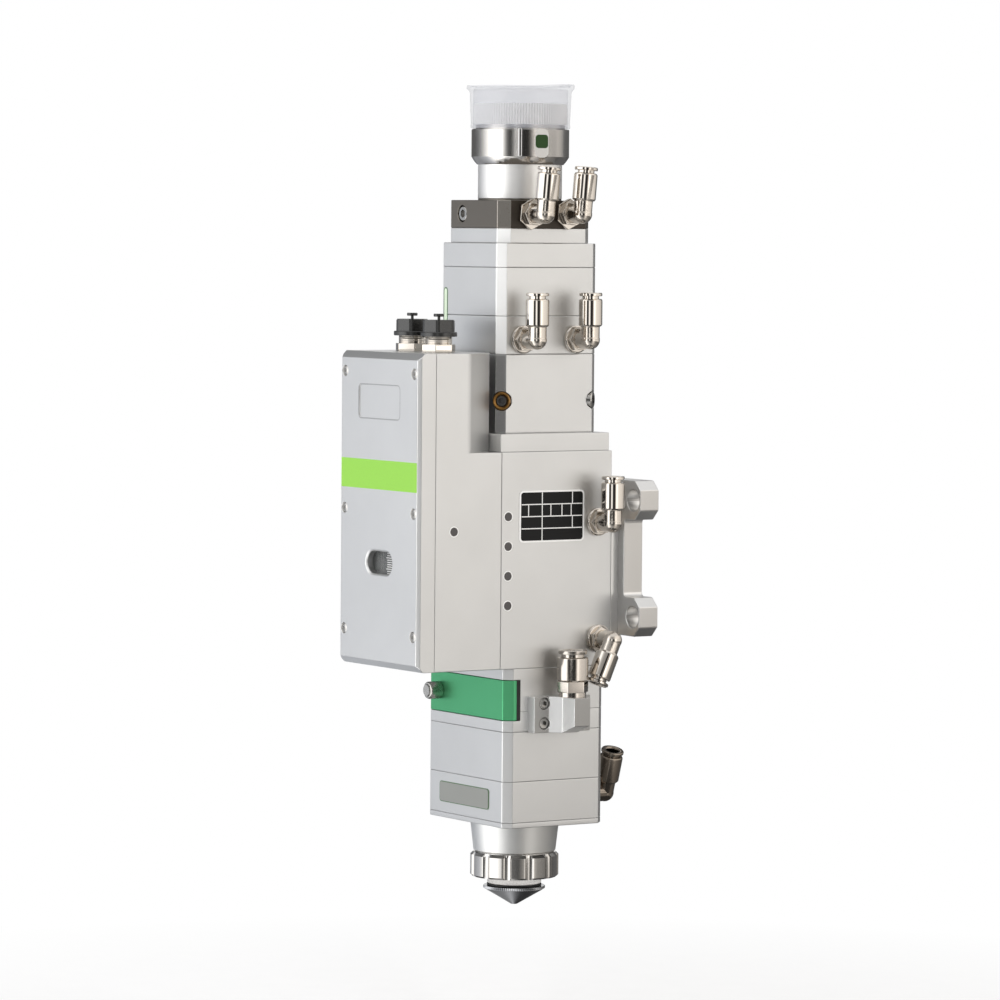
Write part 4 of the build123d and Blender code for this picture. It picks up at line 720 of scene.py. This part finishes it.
# %% The straight push-in fitting and its ring
gas_seat = Matrix.Translation((45.5, 0.9, 97.82))
bm = bmesh.new()
turned_in(bm, [(0, 0), (5.9, 0), (6.1, 0.2), (6.1, 2.2), (0, 2.2)], gas_seat)
turned_in(bm, [
    (4.05, 7.1), (6.3, 7.1), (7.0, 7.8), (7.0, 17.1), (6.85, 17.5), (6.3, 17.8), (5.25, 17.8),
    (5.25, 10.8), (4.05, 10.8),
], gas_seat, 96)
hexed = bmesh.new()
hexagon(hexed, 12.6, 2.2, 7.2, 0.4, math.radians(41.6))
set_down(bm, hexed, gas_seat)
finish_piece(bm, "gas_fitting_turned", nickel_satin, "root", "gas_fitting", sharp=30)
turned_piece([
    (4.1, 12.3), (5.15, 12.3), (5.15, 19.2), (6.2, 19.2), (6.4, 19.5), (6.4, 20.7), (6.1, 21.0), (5.2, 21.0),
    (4.6, 20.8), (4.1, 20.3),
], "gas_ring_turned", nickel_satin, "gas_fitting_ring", "gas_fitting_ring", steps=96, sharp=35, at=gas_seat)
print("gas fitting at", [round(c, 1) for c in gas_seat.translation])

# %% [markdown]
# ## Screws
# A socket screw has a knurled or plain head with a rounded rim and a hexagonal socket
# with a small countersink. The heads are turned with a sixfold socket pressed in, and
# each one lies in its counterbore.

# %% Socket screw heads
def in_order(verts):
    return sorted(verts, key=lambda v: math.atan2(v.co.y, v.co.x))


def socket_head(bm, head_d, head_t, socket_af, face):
    head_r = head_d / 2
    sunk = bmesh.new()
    bmesh.ops.create_circle(sunk, segments=48, radius=head_r - 0.12 * head_r)
    inner = bmesh.ops.create_circle(sunk, segments=6, radius=socket_af / math.sqrt(3))["verts"]
    bmesh.ops.bridge_loops(sunk, edges=sunk.edges)
    floor = sunk.faces.new(in_order(inner))
    grow(sunk, (0, 0, -0.6 * head_t), [floor])
    if floor.is_valid:
        sunk.faces.remove(floor)
    for radius, height in ((head_r, -0.12 * head_r), (head_r, -head_t)):
        rim = [e for e in sunk.edges if e.is_boundary]
        grown = bmesh.ops.extrude_edge_only(sunk, edges=rim)["geom"]
        for vert in [g for g in grown if isinstance(g, bmesh.types.BMVert)]:
            angle = math.atan2(vert.co.y, vert.co.x)
            vert.co = (radius * math.cos(angle), radius * math.sin(angle), height)
    sunk.faces.new(in_order({v for e in sunk.edges if e.is_boundary for v in e.verts}))
    bmesh.ops.recalc_face_normals(sunk, faces=sunk.faces)
    set_down(bm, sunk, face @ Matrix.Translation((0, 0, head_t)))


def facing(origin, outward):
    turn = Vector(outward).to_track_quat("Z", "Y").to_matrix().to_4x4()
    return Matrix.Translation(origin) @ turn


print("a socket is six sided and 0.6 of its head deep")

# %% [markdown]
# The cover's screws have low domes with a small dimple for the key, and a dark ring round each
# head is painted shade in the gap of its counterbore. Two more screws hold the gas block, one the
# cooling plate and four the bracket. Screws of one kind are one piece, because nothing moves one without the
# rest.

# %% The screws of the cover, the blocks and the bracket
cover_front_y = -73.1
dome = [
    (0, 0), (2.4, 0), (2.4, 0.2), (2.25, 0.5), (1.8, 0.85), (1.1, 1.05), (0.8, 1.05), (0.7, 0.7), (0, 0.7),
]
shade_ring = [(2.42, 0), (2.75, 0), (2.75, 0.9), (2.42, 0.2)]
cover_screws = [
    facing((x, cover_front_y + 1.2, z), (0, -1, 0)) for x in (-29.6, 29.6) for z in (125.92, 180.22, 241.62)
]
bm = bmesh.new()
for place in cover_screws:
    turned_in(bm, dome, place, 40)
finish_piece(bm, "cover_screw_heads", screw_steel, "root", "socket_screws", sharp=35, recalc=False)
# A dark ring of painted shade round each head
bm = bmesh.new()
for place in cover_screws:
    turned_in(bm, shade_ring, place, 40)
finish_piece(bm, "cover_screw_shade_rings", dark_steel_and_painted_shade, "root", sharp=35)
bm = bmesh.new()
for z in (85.82, 94.62):
    socket_head(bm, 4.7, 2.2, 2.4, facing((36.6, -9.7, z), (1, 0, 0)))
socket_head(bm, 6.8, 3.8, 3.4, facing((-10.1, -20.1, 312.22), (0, -1, 0)))
for x in (-24, 24):
    for z in (132.32, 184.72):
        socket_head(bm, 8.5, 5.0, 4.2, facing((x, 37.5, z), (0, 1, 0)))
finish_piece(bm, "block_screw_heads", screw_steel, "root", sharp=35, recalc=False)
print("cover screws", len(cover_screws))

# %% [markdown]
# Two screws on the centring block's chamfered corners push the collimator sideways. The
# front one turns in a brass bush, whose worn rim is the only yellow metal on the head.

# %% The centring screws and the brass bush
half_diagonal = math.sqrt(0.5)
corner_reach = 34.3795 - 2.2


def corner_seat(side):
    outward = (half_diagonal, side * half_diagonal, 0)
    return facing([corner_reach * c for c in outward[:2]] + [229.12], outward)


shank = [(0, -12.4), (2, -12.4), (2, 0), (0, 0)]
for name, side, head_d, socket, finish in (
    ("front", -1, 5.0, 2.4, dark_steel_and_painted_shade), ("rear", 1, 7.9, 3.4, screw_steel),
):
    bm = bmesh.new()
    socket_head(bm, head_d, 2.4, socket, corner_seat(side))
    turned_in(bm, shank, corner_seat(side), 32)
    screw_body = f"centring_screw_{name}"
    finish_piece(bm, f"centring_screw_head_{name}", finish, screw_body, screw_body, sharp=35, recalc=False)
turned_piece(
    [(2.65, 0.0), (3.95, 0.0), (3.95, 2.6), (3.7, 2.85), (3.3, 2.85), (2.65, 2.2)],
    "centring_bush", aged_brass, "root", steps=48, sharp=30, at=corner_seat(-1),
)
print("centring screws", round(corner_reach, 2), "mm from the axis")

# %% [markdown]
# The drawer is held by a thumb screw with a straight knurl, so that the window can be
# changed without a key. The same steps as on the nozzle's rim give it its grip.

# %% The drawer's knurled thumb screw
thumb_r = 3.95
bm = bmesh.new()
thumb = facing((-23.2, -26.35, 96.52), (0, -1, 0))
turn_profile(bm, [
    (0, -14.3), (2, -14.3), (2, 0), (3.6, 0), (thumb_r, 0.4), (thumb_r, 5.6), (3.7, 6.1), (3.3, 6.4),
    (2.9, 6.4), (2.6, 7.0), (0, 7.0),
], 96)
in_steps(bm, thumb_r, 0.4, 5.6, 0.16, 48)
bm.transform(thumb)
finish_piece(bm, "drawer_thumb_screw", knurled_steel, "drawer_screw", "drawer_screw", sharp=40)
print("thumb screw", 2 * thumb_r, "mm across")

# %% [markdown]
# ## Cable connectors
# Two round connectors stand on the motor box: a hexagonal nut, a threaded barrel and a
# screw cap. The thread is so fine that it shows only as rings.

# %% Connector nuts and barrels
box_top_z = 250.62
connector_y = -49.3
connectors = {"left": (-11.35, 7.9), "right": (11.35, 47.3)}
half_pitch = 0.34
thread = [(5.88 if k % 2 else 6.0, 3.6 + half_pitch * k) for k in range(11)]
barrel = [(0, 3.5), (5.6, 3.5)] + thread + [(5.6, 7.0), (4.4, 7.0), (4.4, 11.8), (0, 11.8)]
bm = bmesh.new()
for x, turn in connectors.values():
    place = Matrix.Translation((x, connector_y, box_top_z))
    part = bmesh.new()
    hexagon(part, 13.6, 0, 3.6, 0.4, math.radians(turn))
    set_down(bm, part, place)
    turned_in(bm, barrel, place)
finish_piece(bm, "connector_bodies", nickel, "root", "cable_connectors", sharp=24)
print("connectors", len(connectors))

# %% [markdown]
# The caps are drums with six flats for the fingers: points of a circle that lie beyond a
# flat are moved back to it, and the outline is raised. The drums overlap a little, because
# walls that lie in one plane would be welded. A stud with a button holds the cap's strap.

# %% Connector caps with flats
def direction(azimuth, elevation):
    """Azimuth 0 is in front of the cover, 90 on the fittings' side."""
    a, e = math.radians(azimuth), math.radians(elevation)
    return Vector((math.sin(a) * math.cos(e), -math.cos(a) * math.cos(e), math.sin(e)))


def flatted_drum(bm, radius, apothem, low, high, bore=0.0, first_azimuth=24.6):
    part = bmesh.new()
    outline = bmesh.ops.create_circle(part, cap_ends=not bore, segments=120, radius=radius)["verts"]
    for vert in outline:
        for count in range(6):
            way = direction(first_azimuth + 60 * count, 0)
            vert.co -= max(0, vert.co.dot(way) - apothem) * way
    if bore:
        bmesh.ops.create_circle(part, segments=120, radius=bore)
        bmesh.ops.bridge_loops(part, edges=part.edges)
    grow(part, (0, 0, high - low))
    bmesh.ops.recalc_face_normals(part, faces=part.faces)
    set_down(bm, part, Matrix.Translation((0, 0, low)))


stud = [(0, 7.3), (0.65, 7.3), (0.65, 8.8), (2.2, 8.8), (2.375, 9.0), (2.375, 9.9), (2.2, 10.1), (0, 10.1)]
for side, (x, _) in connectors.items():
    bm = bmesh.new()
    turn_profile(bm, [(4.6, 0), (8.0, 0), (8.2, 0.2), (8.2, 1.7), (8.0, 2.0), (4.6, 2.0)], 96)
    flatted_drum(bm, 7.55, 6.95, 1.9, 5.1, bore=4.7)
    flatted_drum(bm, 7.53, 6.93, 5.0, 7.0)
    flatted_drum(bm, 7.2, 6.6, 6.9, 7.4)
    turned_in(bm, stud, steps=32)
    bm.transform(Matrix.Translation((x, connector_y, box_top_z + 7.0)))
    cap_body = f"connector_cap_{side}"
    finish_piece(bm, cap_body + "_flatted", black_nylon, cap_body, cap_body, sharp=20)
print("cap flats", 2 * 6.95, "mm apart")

# %% [markdown]
# ## Prints, plugs and plates
# Thin flat things are laid a few hundredths of a millimetre over the face that carries
# them: a lime band, a plain data plate with ruled fields, a strip, a bare maker's pad.

# %% Thin plates on flat faces
def flat_plate(name, finish, face, width, height, corner, thickness, line=0.0, body="root"):
    """A plate drawn in X and Z whose front looks out of the face; a line's width leaves only its rim."""
    bm = bmesh.new()
    front = rounded_outline(bm, width, height, corner)
    if line:
        bmesh.ops.inset_region(bm, faces=[front], thickness=line, use_boundary=True, use_even_offset=True)
        bmesh.ops.delete(bm, geom=[front], context="FACES_ONLY")
    grow(bm, (0, -thickness, 0))
    bmesh.ops.recalc_face_normals(bm, faces=bm.faces)
    bm.transform(face)
    return finish_piece(bm, name, finish, body, sharp=30)


def on_front(x, y, z):
    return Matrix.Translation((x, y, z))


def on_side(x, y, z):
    return on_front(x, y, z) @ Matrix.Rotation(math.radians(90), 4, "Z")


print_y = cover_front_y + 0.02
flat_plate("lime_band", lime_print, on_front(0, print_y, 196.15), 64.8, 13.1, 0.1, 0.04)
flat_plate("badge_frame", grey_edge_and_painted_shade, on_front(0, print_y, 228.52), 35.9, 15.7, 2.3, 0.04, line=0.4)
print("band and badge on the cover at", print_y, "mm")

# %% [markdown]
# The data plate is black with pale ruled fields and no words. Its rules are plates of
# their own, half a millimetre wide, so they stay crisp from near by.

# %% The data plate and its rules
plate_width, plate_height, plate_y, plate_z = 32.7, 21.5, -3.45, 177.95
rule_width, rule_x = 0.42, 34.23
flat_plate("data_plate_edge", pale_print, on_side(33.88, plate_y, plate_z), 34.3, 23.0, 1.9, 0.32)
flat_plate("data_plate", plate_print, on_side(33.9, plate_y, plate_z), plate_width, plate_height, 1.3, 0.35)
plate_top, plate_left = plate_z + plate_height / 2, plate_y - plate_width / 2
for number, share in enumerate((0.25, 0.5, 0.75)):
    place = on_side(rule_x, plate_y, plate_top - share * plate_height)
    flat_plate(f"data_plate_rule_{number}", pale_print, place, 32.3, rule_width, 0.1, 0.05)
# Each field's row, and how far along the row its rule stands
fields = (
    (0, 0.34), (0, 0.83), (1, 0.12), (1, 0.34), (1, 0.48), (1, 0.66), (1, 0.81), (2, 0.34), (2, 0.83),
    (3, 0.34),
)
row_height = plate_height / 4
for number, (row, share) in enumerate(fields):
    place = on_side(rule_x, plate_left + share * plate_width, plate_top - (row + 0.5) * row_height)
    flat_plate(f"data_plate_column_{number}", pale_print, place, rule_width, 5.3, 0.1, 0.05)
print("fields", len(fields) + 4)

# %% [markdown]
# The sensor housing carries a lacquered pad with a dark rim, and the column a narrow pale
# strip. Dark plugs close five screw holes at the side, each in a pale ring.

# %% Pad, strip and side plugs
flat_plate("sensor_pad_rim", strip_edge, on_front(-1.0, -26.33, 50.8), 41.6, 9.4, 1.5, 0.28)
flat_plate("sensor_pad", pad_metal, on_front(-1.0, -26.33, 50.8), 40.8, 8.6, 1.2, 0.36)
flat_plate("collimator_strip_edge", strip_edge, on_front(-20.0, -26.35, 270.0), 3.6, 18.2, 1.7, 0.05)
flat_plate("collimator_strip", strip_print, on_front(-20.0, -26.36, 270.0), 2.2, 17.0, 1.0, 0.08)
plug = [(0, -0.95), (1.45, -0.95), (1.45, 0.01), (1.95, 0.01), (1.95, 0.06), (1.85, 0.12), (0, 0.12)]
plug_places = ((-26.3, 178.12), (-26.3, 164.92), (-26.3, 151.72), (-26.3, 138.52), (-54.6, 172.12))
rims = bmesh.new()
for number, (y, z) in enumerate(plug_places):
    seat = facing((33.9, y, z), (1, 0, 0))
    turned_piece(plug, f"side_plug_{number}", dark_plug, "root", steps=32, sharp=30, at=seat)
    turned_in(rims, [(1.95, 0.01), (2.45, 0.01), (2.4, 0.06), (1.95, 0.06)], seat, 32)
finish_piece(rims, "side_plug_rims", pale_edge_and_painted_highlight, "root", sharp=30)
print("plugs", len(plug_places))

# %% [markdown]
# ## Focus scale
# Behind the oval window a black plate on the carriage carries pale ticks, one millimetre
# apart, every fifth one longer. Thin wires hang beside it, and a clear pane closes the
# window. Plate, ticks and wires ride on the carriage, so the scale moves with the focus.

# %% The focus scale behind the cover's window
scale_y, scale_z = -67.4, 157.02
tick_pitch, tick_count = 1.0, 33
scale_place = on_front(-2.4, scale_y, scale_z)
flat_plate("scale_plate", black_rubber_and_painted_shade, scale_place, 19.6, 33.6, 0.6, 0.3, body="focus_carriage")
ticks = bmesh.new()
for number in range(tick_count):
    long_tick = number % 5 == 3
    part = bmesh.new()
    rounded_outline(part, 6.4 if long_tick else 4.8, 0.42, 0.05, 1)
    grow(part, (0, -0.04, 0))
    bmesh.ops.recalc_face_normals(part, faces=part.faces)
    set_down(ticks, part, on_front(1.4, scale_y - 0.29, scale_z - 16 + tick_pitch * number))
finish_piece(ticks, "scale_ticks", pale_print, "focus_carriage", sharp=30)
bm = bmesh.new()
for x, radius in ((-9.0, 0.3), (-6.2, 0.2), (-4.4, 0.2)):
    turned_in(bm, [(0, 0), (radius, 0), (radius, 33.0), (0, 33.0)], on_front(x, scale_y - 0.2, 140.5), 24)
finish_piece(bm, "scale_guide_wires", dark_steel_and_painted_shade, "focus_carriage", sharp=40)
bm = bmesh.new()
rounded_outline(bm, 25.0, 13.4, 5.8, 12)
grow(bm, (0, -1.0, 0))
bm.transform(on_front(0.6, -68.5, scale_z))
finish_piece(bm, "scale_pane", clear_pane, "root", sharp=30)
print("ticks", tick_count, "at", tick_pitch, "mm")

# %% [markdown]
# ## Studio
# Metal shows what stands round it. The room is white, so a colour renders as it is
# written; dark cards beside the camera draw the dark bands that give polished cylinders
# their shape, and large tinted cards set the tone of the two flat sides. The cards are
# studio gear that the camera does not see.

# %% World and floor
floor_z, floor_r = -80.0, 4000
white = (1, 1, 1, 1)


def straight_rays(tree):
    """1 for rays from the camera, off a mirror or through glass, and 0 for scattered light."""
    path = add_node(tree, "ShaderNodeLightPath")
    seen = path.outputs["Is Camera Ray"]
    for kind in ("Is Glossy Ray", "Is Transmission Ray"):
        seen = add_node(
            tree, "ShaderNodeMath", {"operation": "MAXIMUM"}, {0: seen, 1: path.outputs[kind]},
        ).outputs[0]
    return seen


world = bpy.data.worlds.new("studio")
scene.world = world
world.use_nodes = True
tree = world.node_tree
tree.nodes.clear()
ambient = add_node(tree, "ShaderNodeBackground", {"Color": white, "Strength": 0.75})
backdrop = add_node(tree, "ShaderNodeBackground", {"Color": white, "Strength": 1.0})
seen = straight_rays(tree)
mix = add_node(tree, "ShaderNodeMixShader", links={0: seen, 1: ambient.outputs[0], 2: backdrop.outputs[0]})
add_node(tree, "ShaderNodeOutputWorld", links={"Surface": mix.outputs[0]})

bm = bmesh.new()
bmesh.ops.create_circle(bm, cap_ends=True, segments=96, radius=floor_r)
bmesh.ops.translate(bm, vec=(0, 0, floor_z), verts=bm.verts)
bmesh.ops.scale(bm, vec=(mm, mm, mm), verts=bm.verts)
mesh = bpy.data.meshes.new("floor")
bm.to_mesh(mesh)
bm.free()
floor = bpy.data.objects.new("floor", mesh)
scene.collection.objects.link(floor)
print("floor at", floor_z, "mm")

# %% [markdown]
# The floor is matt white paper. Near the head it takes the shadow as real paper does, and
# further out it fades to an even white glow, which joins it to the white room.

# %% The paper floor
paper, tree, shader, place = start_finish("white_paper_floor", {"Roughness": 0.9, "Specular IOR Level": 0.2})
tone = add_node(tree, "ShaderNodeTexNoise", {"Scale": 60.0, "Detail": 2.0}, {"Vector": place})
shade = add_node(tree, "ShaderNodeMapRange", {"To Min": 0.86, "To Max": 0.90}, {"Value": tone.outputs["Fac"]})
tint = add_node(
    tree, "ShaderNodeCombineColor", links={channel: shade.outputs[0] for channel in ("Red", "Green", "Blue")},
)
tree.links.new(tint.outputs[0], shader.inputs["Base Color"])
reach = add_node(tree, "ShaderNodeVectorMath", {"operation": "LENGTH"}, {0: place})
away = add_node(
    tree, "ShaderNodeMapRange", {"From Min": 0.16, "From Max": 0.55, "To Min": 0.0, "To Max": 1.0},
    {"Value": reach.outputs["Value"]},
)
glow = add_node(
    tree, "ShaderNodeMath", {"operation": "MULTIPLY"}, {0: straight_rays(tree), 1: away.outputs["Result"]},
)
lit = add_node(tree, "ShaderNodeEmission", {"Color": white, "Strength": 1.0})
mixed = add_node(
    tree, "ShaderNodeMixShader", links={0: glow.outputs[0], 1: shader.outputs["BSDF"], 2: lit.outputs[0]},
)
tree.links.new(mixed.outputs[0], tree.nodes["Material Output"].inputs["Surface"])
floor.data.materials.append(paper)
print("floor material", paper.name)

# %% [markdown]
# The cards are bands round the head: two rings on the floor and five walls. Each band
# glows by azimuth, from a colour ramp, and what a facet mirrors can be worked out: its
# own azimuth twice, less the camera's. So each stop sets the tone of certain facets.

# %% One card and one band
card_radius, middle_radius, skirt_radius = 1500, 520, 210
plain, cool, warm = "#ffffff", "#f3f7ff", "#fffbf6"


def tint_at(azimuth, left):
    """The light is cool at the left of the view, warm at its right and white between."""
    return left if azimuth < -44 else warm if 77 < azimuth < 170 else plain


def studio_gear(name, bm):
    """Sets up a card that only metal and glass see: the camera looks through it."""
    bmesh.ops.scale(bm, vec=(mm, mm, mm), verts=bm.verts)
    mesh = bpy.data.meshes.new(name)
    bm.to_mesh(mesh)
    bm.free()
    made = bpy.data.objects.new(name, mesh)
    scene.collection.objects.link(made)
    made.visible_camera = False
    made.visible_shadow = False
    made.visible_diffuse = False
    finish = bpy.data.materials.new(name + "_tone")
    finish.use_nodes = True
    finish.node_tree.nodes.clear()
    mesh.materials.append(finish)
    return finish.node_tree


def studio_band(name, first, last, stops, low=1.0, high=1.0, left=cool):
    """A band between two rings of (radius, z); its brightness follows the azimuth by stops."""
    bm = bmesh.new()
    ring = bmesh.ops.create_circle(bm, segments=144, radius=first[0])["verts"]
    bmesh.ops.translate(bm, vec=(0, 0, first[1]), verts=ring)
    rim = bmesh.ops.extrude_edge_only(bm, edges=bm.edges[:])["geom"]
    for vert in [g for g in rim if isinstance(g, bmesh.types.BMVert)]:
        vert.co.xy *= last[0] / first[0]
        vert.co.z = last[1]
    tree = studio_gear(name, bm)
    place = add_node(tree, "ShaderNodeTexCoord").outputs["Object"]
    split = add_node(tree, "ShaderNodeSeparateXYZ", links={0: place})
    minus_y = add_node(tree, "ShaderNodeMath", {"operation": "MULTIPLY", 1: -1.0}, {0: split.outputs["Y"]})
    turn = add_node(
        tree, "ShaderNodeMath", {"operation": "ARCTAN2"}, {0: split.outputs["X"], 1: minus_y.outputs[0]},
    )
    share = add_node(
        tree, "ShaderNodeMapRange", {"From Min": -math.pi, "From Max": math.pi}, {"Value": turn.outputs[0]},
    )
    ramp = add_node(tree, "ShaderNodeValToRGB", links={"Fac": share.outputs["Result"]})
    colours = ramp.color_ramp.elements
    while len(colours) < len(stops):
        colours.new(0.5)
    brightest = max(value for _, value in stops)
    turned_stops = sorted(((azimuth + 180) % 360, value, tint_at(azimuth, left)) for azimuth, value in stops)
    for colour, (azimuth, value, tint) in zip(colours, turned_stops):
        colour.position = azimuth / 360
        colour.color = [value / brightest * c for c in linear(tint)[:3]] + [1]
    strength = add_node(
        tree, "ShaderNodeMapRange",
        {
            "From Min": first[1] * mm, "From Max": last[1] * mm + 0.001,
            "To Min": brightest * low, "To Max": brightest * high,
        },
        {"Value": split.outputs["Z"]},
    )
    glow = add_node(
        tree, "ShaderNodeEmission",
        links={"Color": ramp.outputs["Color"], "Strength": strength.outputs["Result"]},
    )
    add_node(tree, "ShaderNodeOutputMaterial", links={"Surface": glow.outputs[0]})


print("cards at", card_radius, "mm")

# %% [markdown]
# Each stop is an azimuth and a brightness. Dark stops near 30 and 70 draw the two dark
# bands of a polished cylinder, and the bright strip between them draws its highlight. The
# stops from 80 to 165 light the right sides, and those below 0 the chamfers and left sides.

# %% The stops of the bands
behind = [(232, 0.12), (236, 1.0), (246, 1.0)]
floor_stops = [
    (-112, 0.3), (-101, 0.9), (-86, 0.9), (-75, 0.35), (-60, 0.55), (-45, 0.9), (-30, 1.8), (-15, 2.1),
    (10, 2.1), (20, 1.6), (30, 1.1), (40, 0.7), (50, 0.5), (65, 0.38), (80, 0.45), (95, 0.8),
    (105, 0.8), (120, 0.45), (140, 0.35), (158, 0.25), (178, 0.2), (198, 0.2),
] + behind
foot_stops = [
    (-112, 0.4), (-75, 0.4), (-60, 0.6), (-45, 0.8), (-32, 1.3), (-20, 2.0), (10, 2.0), (20, 1.3),
    (30, 0.7), (40, 0.3), (50, 0.2), (68, 0.1), (80, 0.35), (95, 1.2), (105, 0.9), (118, 0.35),
    (140, 0.25), (158, 0.2), (178, 0.12), (198, 0.15),
] + behind
left_stops = [
    (-112, 0.25), (-85, 0.3), (-72, 0.62), (-60, 0.9), (-50, 1.1), (-36, 1.7), (-26, 2.6), (12, 2.6),
    (17, 1.6), (22, 0.3), (25, 0.04), (36, 0.04),
]
middle_stops = [(42, 0.8), (47, 2.0), (51, 1.7), (57, 0.4)]
right_stops = [
    (61, 0.03), (76, 0.03), (82, 0.3), (88, 1.3), (93, 2.3), (100, 2.3), (108, 1.6), (122, 1.3),
    (140, 1.2), (152, 1.15), (165, 0.9), (185, 0.45), (200, 0.12),
]
main_stops = left_stops + middle_stops + right_stops + behind
collar_stops = [
    (-112, 0.16), (-72, 0.1), (-62, 0.1), (-52, 0.2), (-42, 0.42), (-32, 0.85), (-22, 1.35), (-14, 2.4),
    (12, 2.4), (18, 1.2), (28, 0.24), (36, 0.04), (48, 0.04), (56, 0.12), (66, 0.02), (78, 0.03),
    (88, 0.25), (98, 0.6), (112, 0.6), (128, 0.32), (148, 0.36), (157, 0.6), (168, 0.5), (178, 0.24),
    (188, 0.15),
] + behind
top_stops = [
    (-112, 0.05), (-78, 0.08), (-62, 0.6), (-42, 1.3), (-25, 1.8), (12, 1.8), (22, 0.9), (40, 0.5),
    (60, 0.4), (80, 0.6), (95, 1.3), (120, 1.4), (150, 1.3), (165, 0.8), (180, 0.4),
] + behind
print("stops on the main wall", len(main_stops))

# %% [markdown]
# The flat faces mirror a wall at a height of their own, because the camera looks a little
# down. So the wall is cut into bands at these heights, and each has its own stops.

# %% The bands round the head
floor_card_z = floor_z + 1
wall_breaks = [(card_radius, z) for z in (floor_card_z, 60, 330, 398, 620, 1700)]
inner_ring, middle_ring, outer_ring = [(r, floor_card_z) for r in (skirt_radius, middle_radius, card_radius)]
studio_band("floor_near", inner_ring, middle_ring, floor_stops)
studio_band("floor_far", middle_ring, outer_ring, foot_stops)
studio_band("wall_low", wall_breaks[0], wall_breaks[1], left_stops + right_stops + behind, 0.86, 0.92)
studio_band("wall_main", wall_breaks[1], wall_breaks[2], main_stops, 0.92, 0.98)
studio_band("wall_collar", wall_breaks[2], wall_breaks[3], collar_stops, left=plain)
studio_band("wall_head", wall_breaks[3], wall_breaks[4], main_stops)
studio_band("wall_top", wall_breaks[4], wall_breaks[5], top_stops)
print("wall bands", len(wall_breaks) - 1)

# %% [markdown]
# A round card under the nozzle shades what its cone and the lower edges mirror: stripes
# across the view, dark at both sides and bright left of the middle.

# %% The card below
bm = bmesh.new()
bmesh.ops.create_circle(bm, cap_ends=True, segments=48, radius=skirt_radius)
bmesh.ops.translate(bm, vec=(0, 0, floor_card_z), verts=bm.verts)
tree = studio_gear("card_below", bm)
place = add_node(tree, "ShaderNodeTexCoord").outputs["Object"]
view_right = (0.535, 0.845, 0)
across = add_node(tree, "ShaderNodeVectorMath", {"operation": "DOT_PRODUCT", 1: view_right}, {0: place})
share = add_node(
    tree, "ShaderNodeMapRange", {"From Min": -0.05, "From Max": 0.05}, {"Value": across.outputs["Value"]},
)
stripes = add_node(tree, "ShaderNodeValToRGB", links={"Fac": share.outputs["Result"]})
stops = stripes.color_ramp.elements
inner_stops = (
    (0.12, 0.3), (0.3, 0.42), (0.42, 0.9), (0.52, 0.3), (0.62, 0.08), (0.74, 0.06), (0.84, 0.06), (0.93, 0.1),
)
for position, value in inner_stops:
    stops.new(position).color = (value, value, value, 1)
stops[0].color = (0.1, 0.1, 0.1, 1)
stops[len(stops) - 1].color = (0.08, 0.08, 0.08, 1)
glow = add_node(tree, "ShaderNodeEmission", {"Strength": 1.0}, {"Color": stripes.outputs["Color"]})
add_node(tree, "ShaderNodeOutputMaterial", links={"Surface": glow.outputs[0]})
print("stripes", len(stops))

# %% [markdown]
# Two soft lamps light the matt pieces and the floor. They are left out of reflections,
# which come from the cards alone.

# %% Lamps
middle = Vector((0, 0, 190))
lamp_distance = 1400


def lamp(name, azimuth, elevation, size, power, colour):
    light = bpy.data.lights.new(name, "AREA")
    light.shape = "DISK"
    light.size = size
    light.energy = power
    light.color = linear(colour)[:3]
    made = bpy.data.objects.new(name, light)
    out = direction(azimuth, elevation)
    turn = (-out).to_track_quat("-Z", "Y").to_matrix().to_4x4()
    made.matrix_world = Matrix.Translation((middle + out * lamp_distance) * mm) @ turn
    scene.collection.objects.link(made)
    made.visible_glossy = False


lamp("key_lamp", -10, 40, 0.8, 9, "#ffffff")
lamp("fill_lamp", 120, 25, 0.9, 6, "#fff8f0")
print("lamps", len(bpy.data.lights))

# %% [markdown]
# ## Camera
# The photograph was taken with a long lens from the front right, three degrees above the
# level. The camera's place and its three axes were worked out from the head's own edges.

# %% The photograph's camera
camera_data = bpy.data.cameras.new("camera")
camera_data.lens = 180.5
camera_data.sensor_width = 36
camera_data.clip_start, camera_data.clip_end = 0.1, 20
camera = bpy.data.objects.new("camera", camera_data)
look = Vector((-0.84309, 0.53502, -0.05439))
right = Vector((0.53542, 0.84455, 0.00812))
up = Vector((-0.05028, 0.02228, 0.99849))
axes = Matrix((right, up, -look)).transposed().to_4x4()
camera.matrix_world = Matrix.Translation(Vector((1904.75, -1217.99, 306.39)) * mm) @ axes
scene.collection.objects.link(camera)
scene.camera = camera
scene.view_settings.view_transform = "Standard"
print("lens", camera_data.lens, "mm")
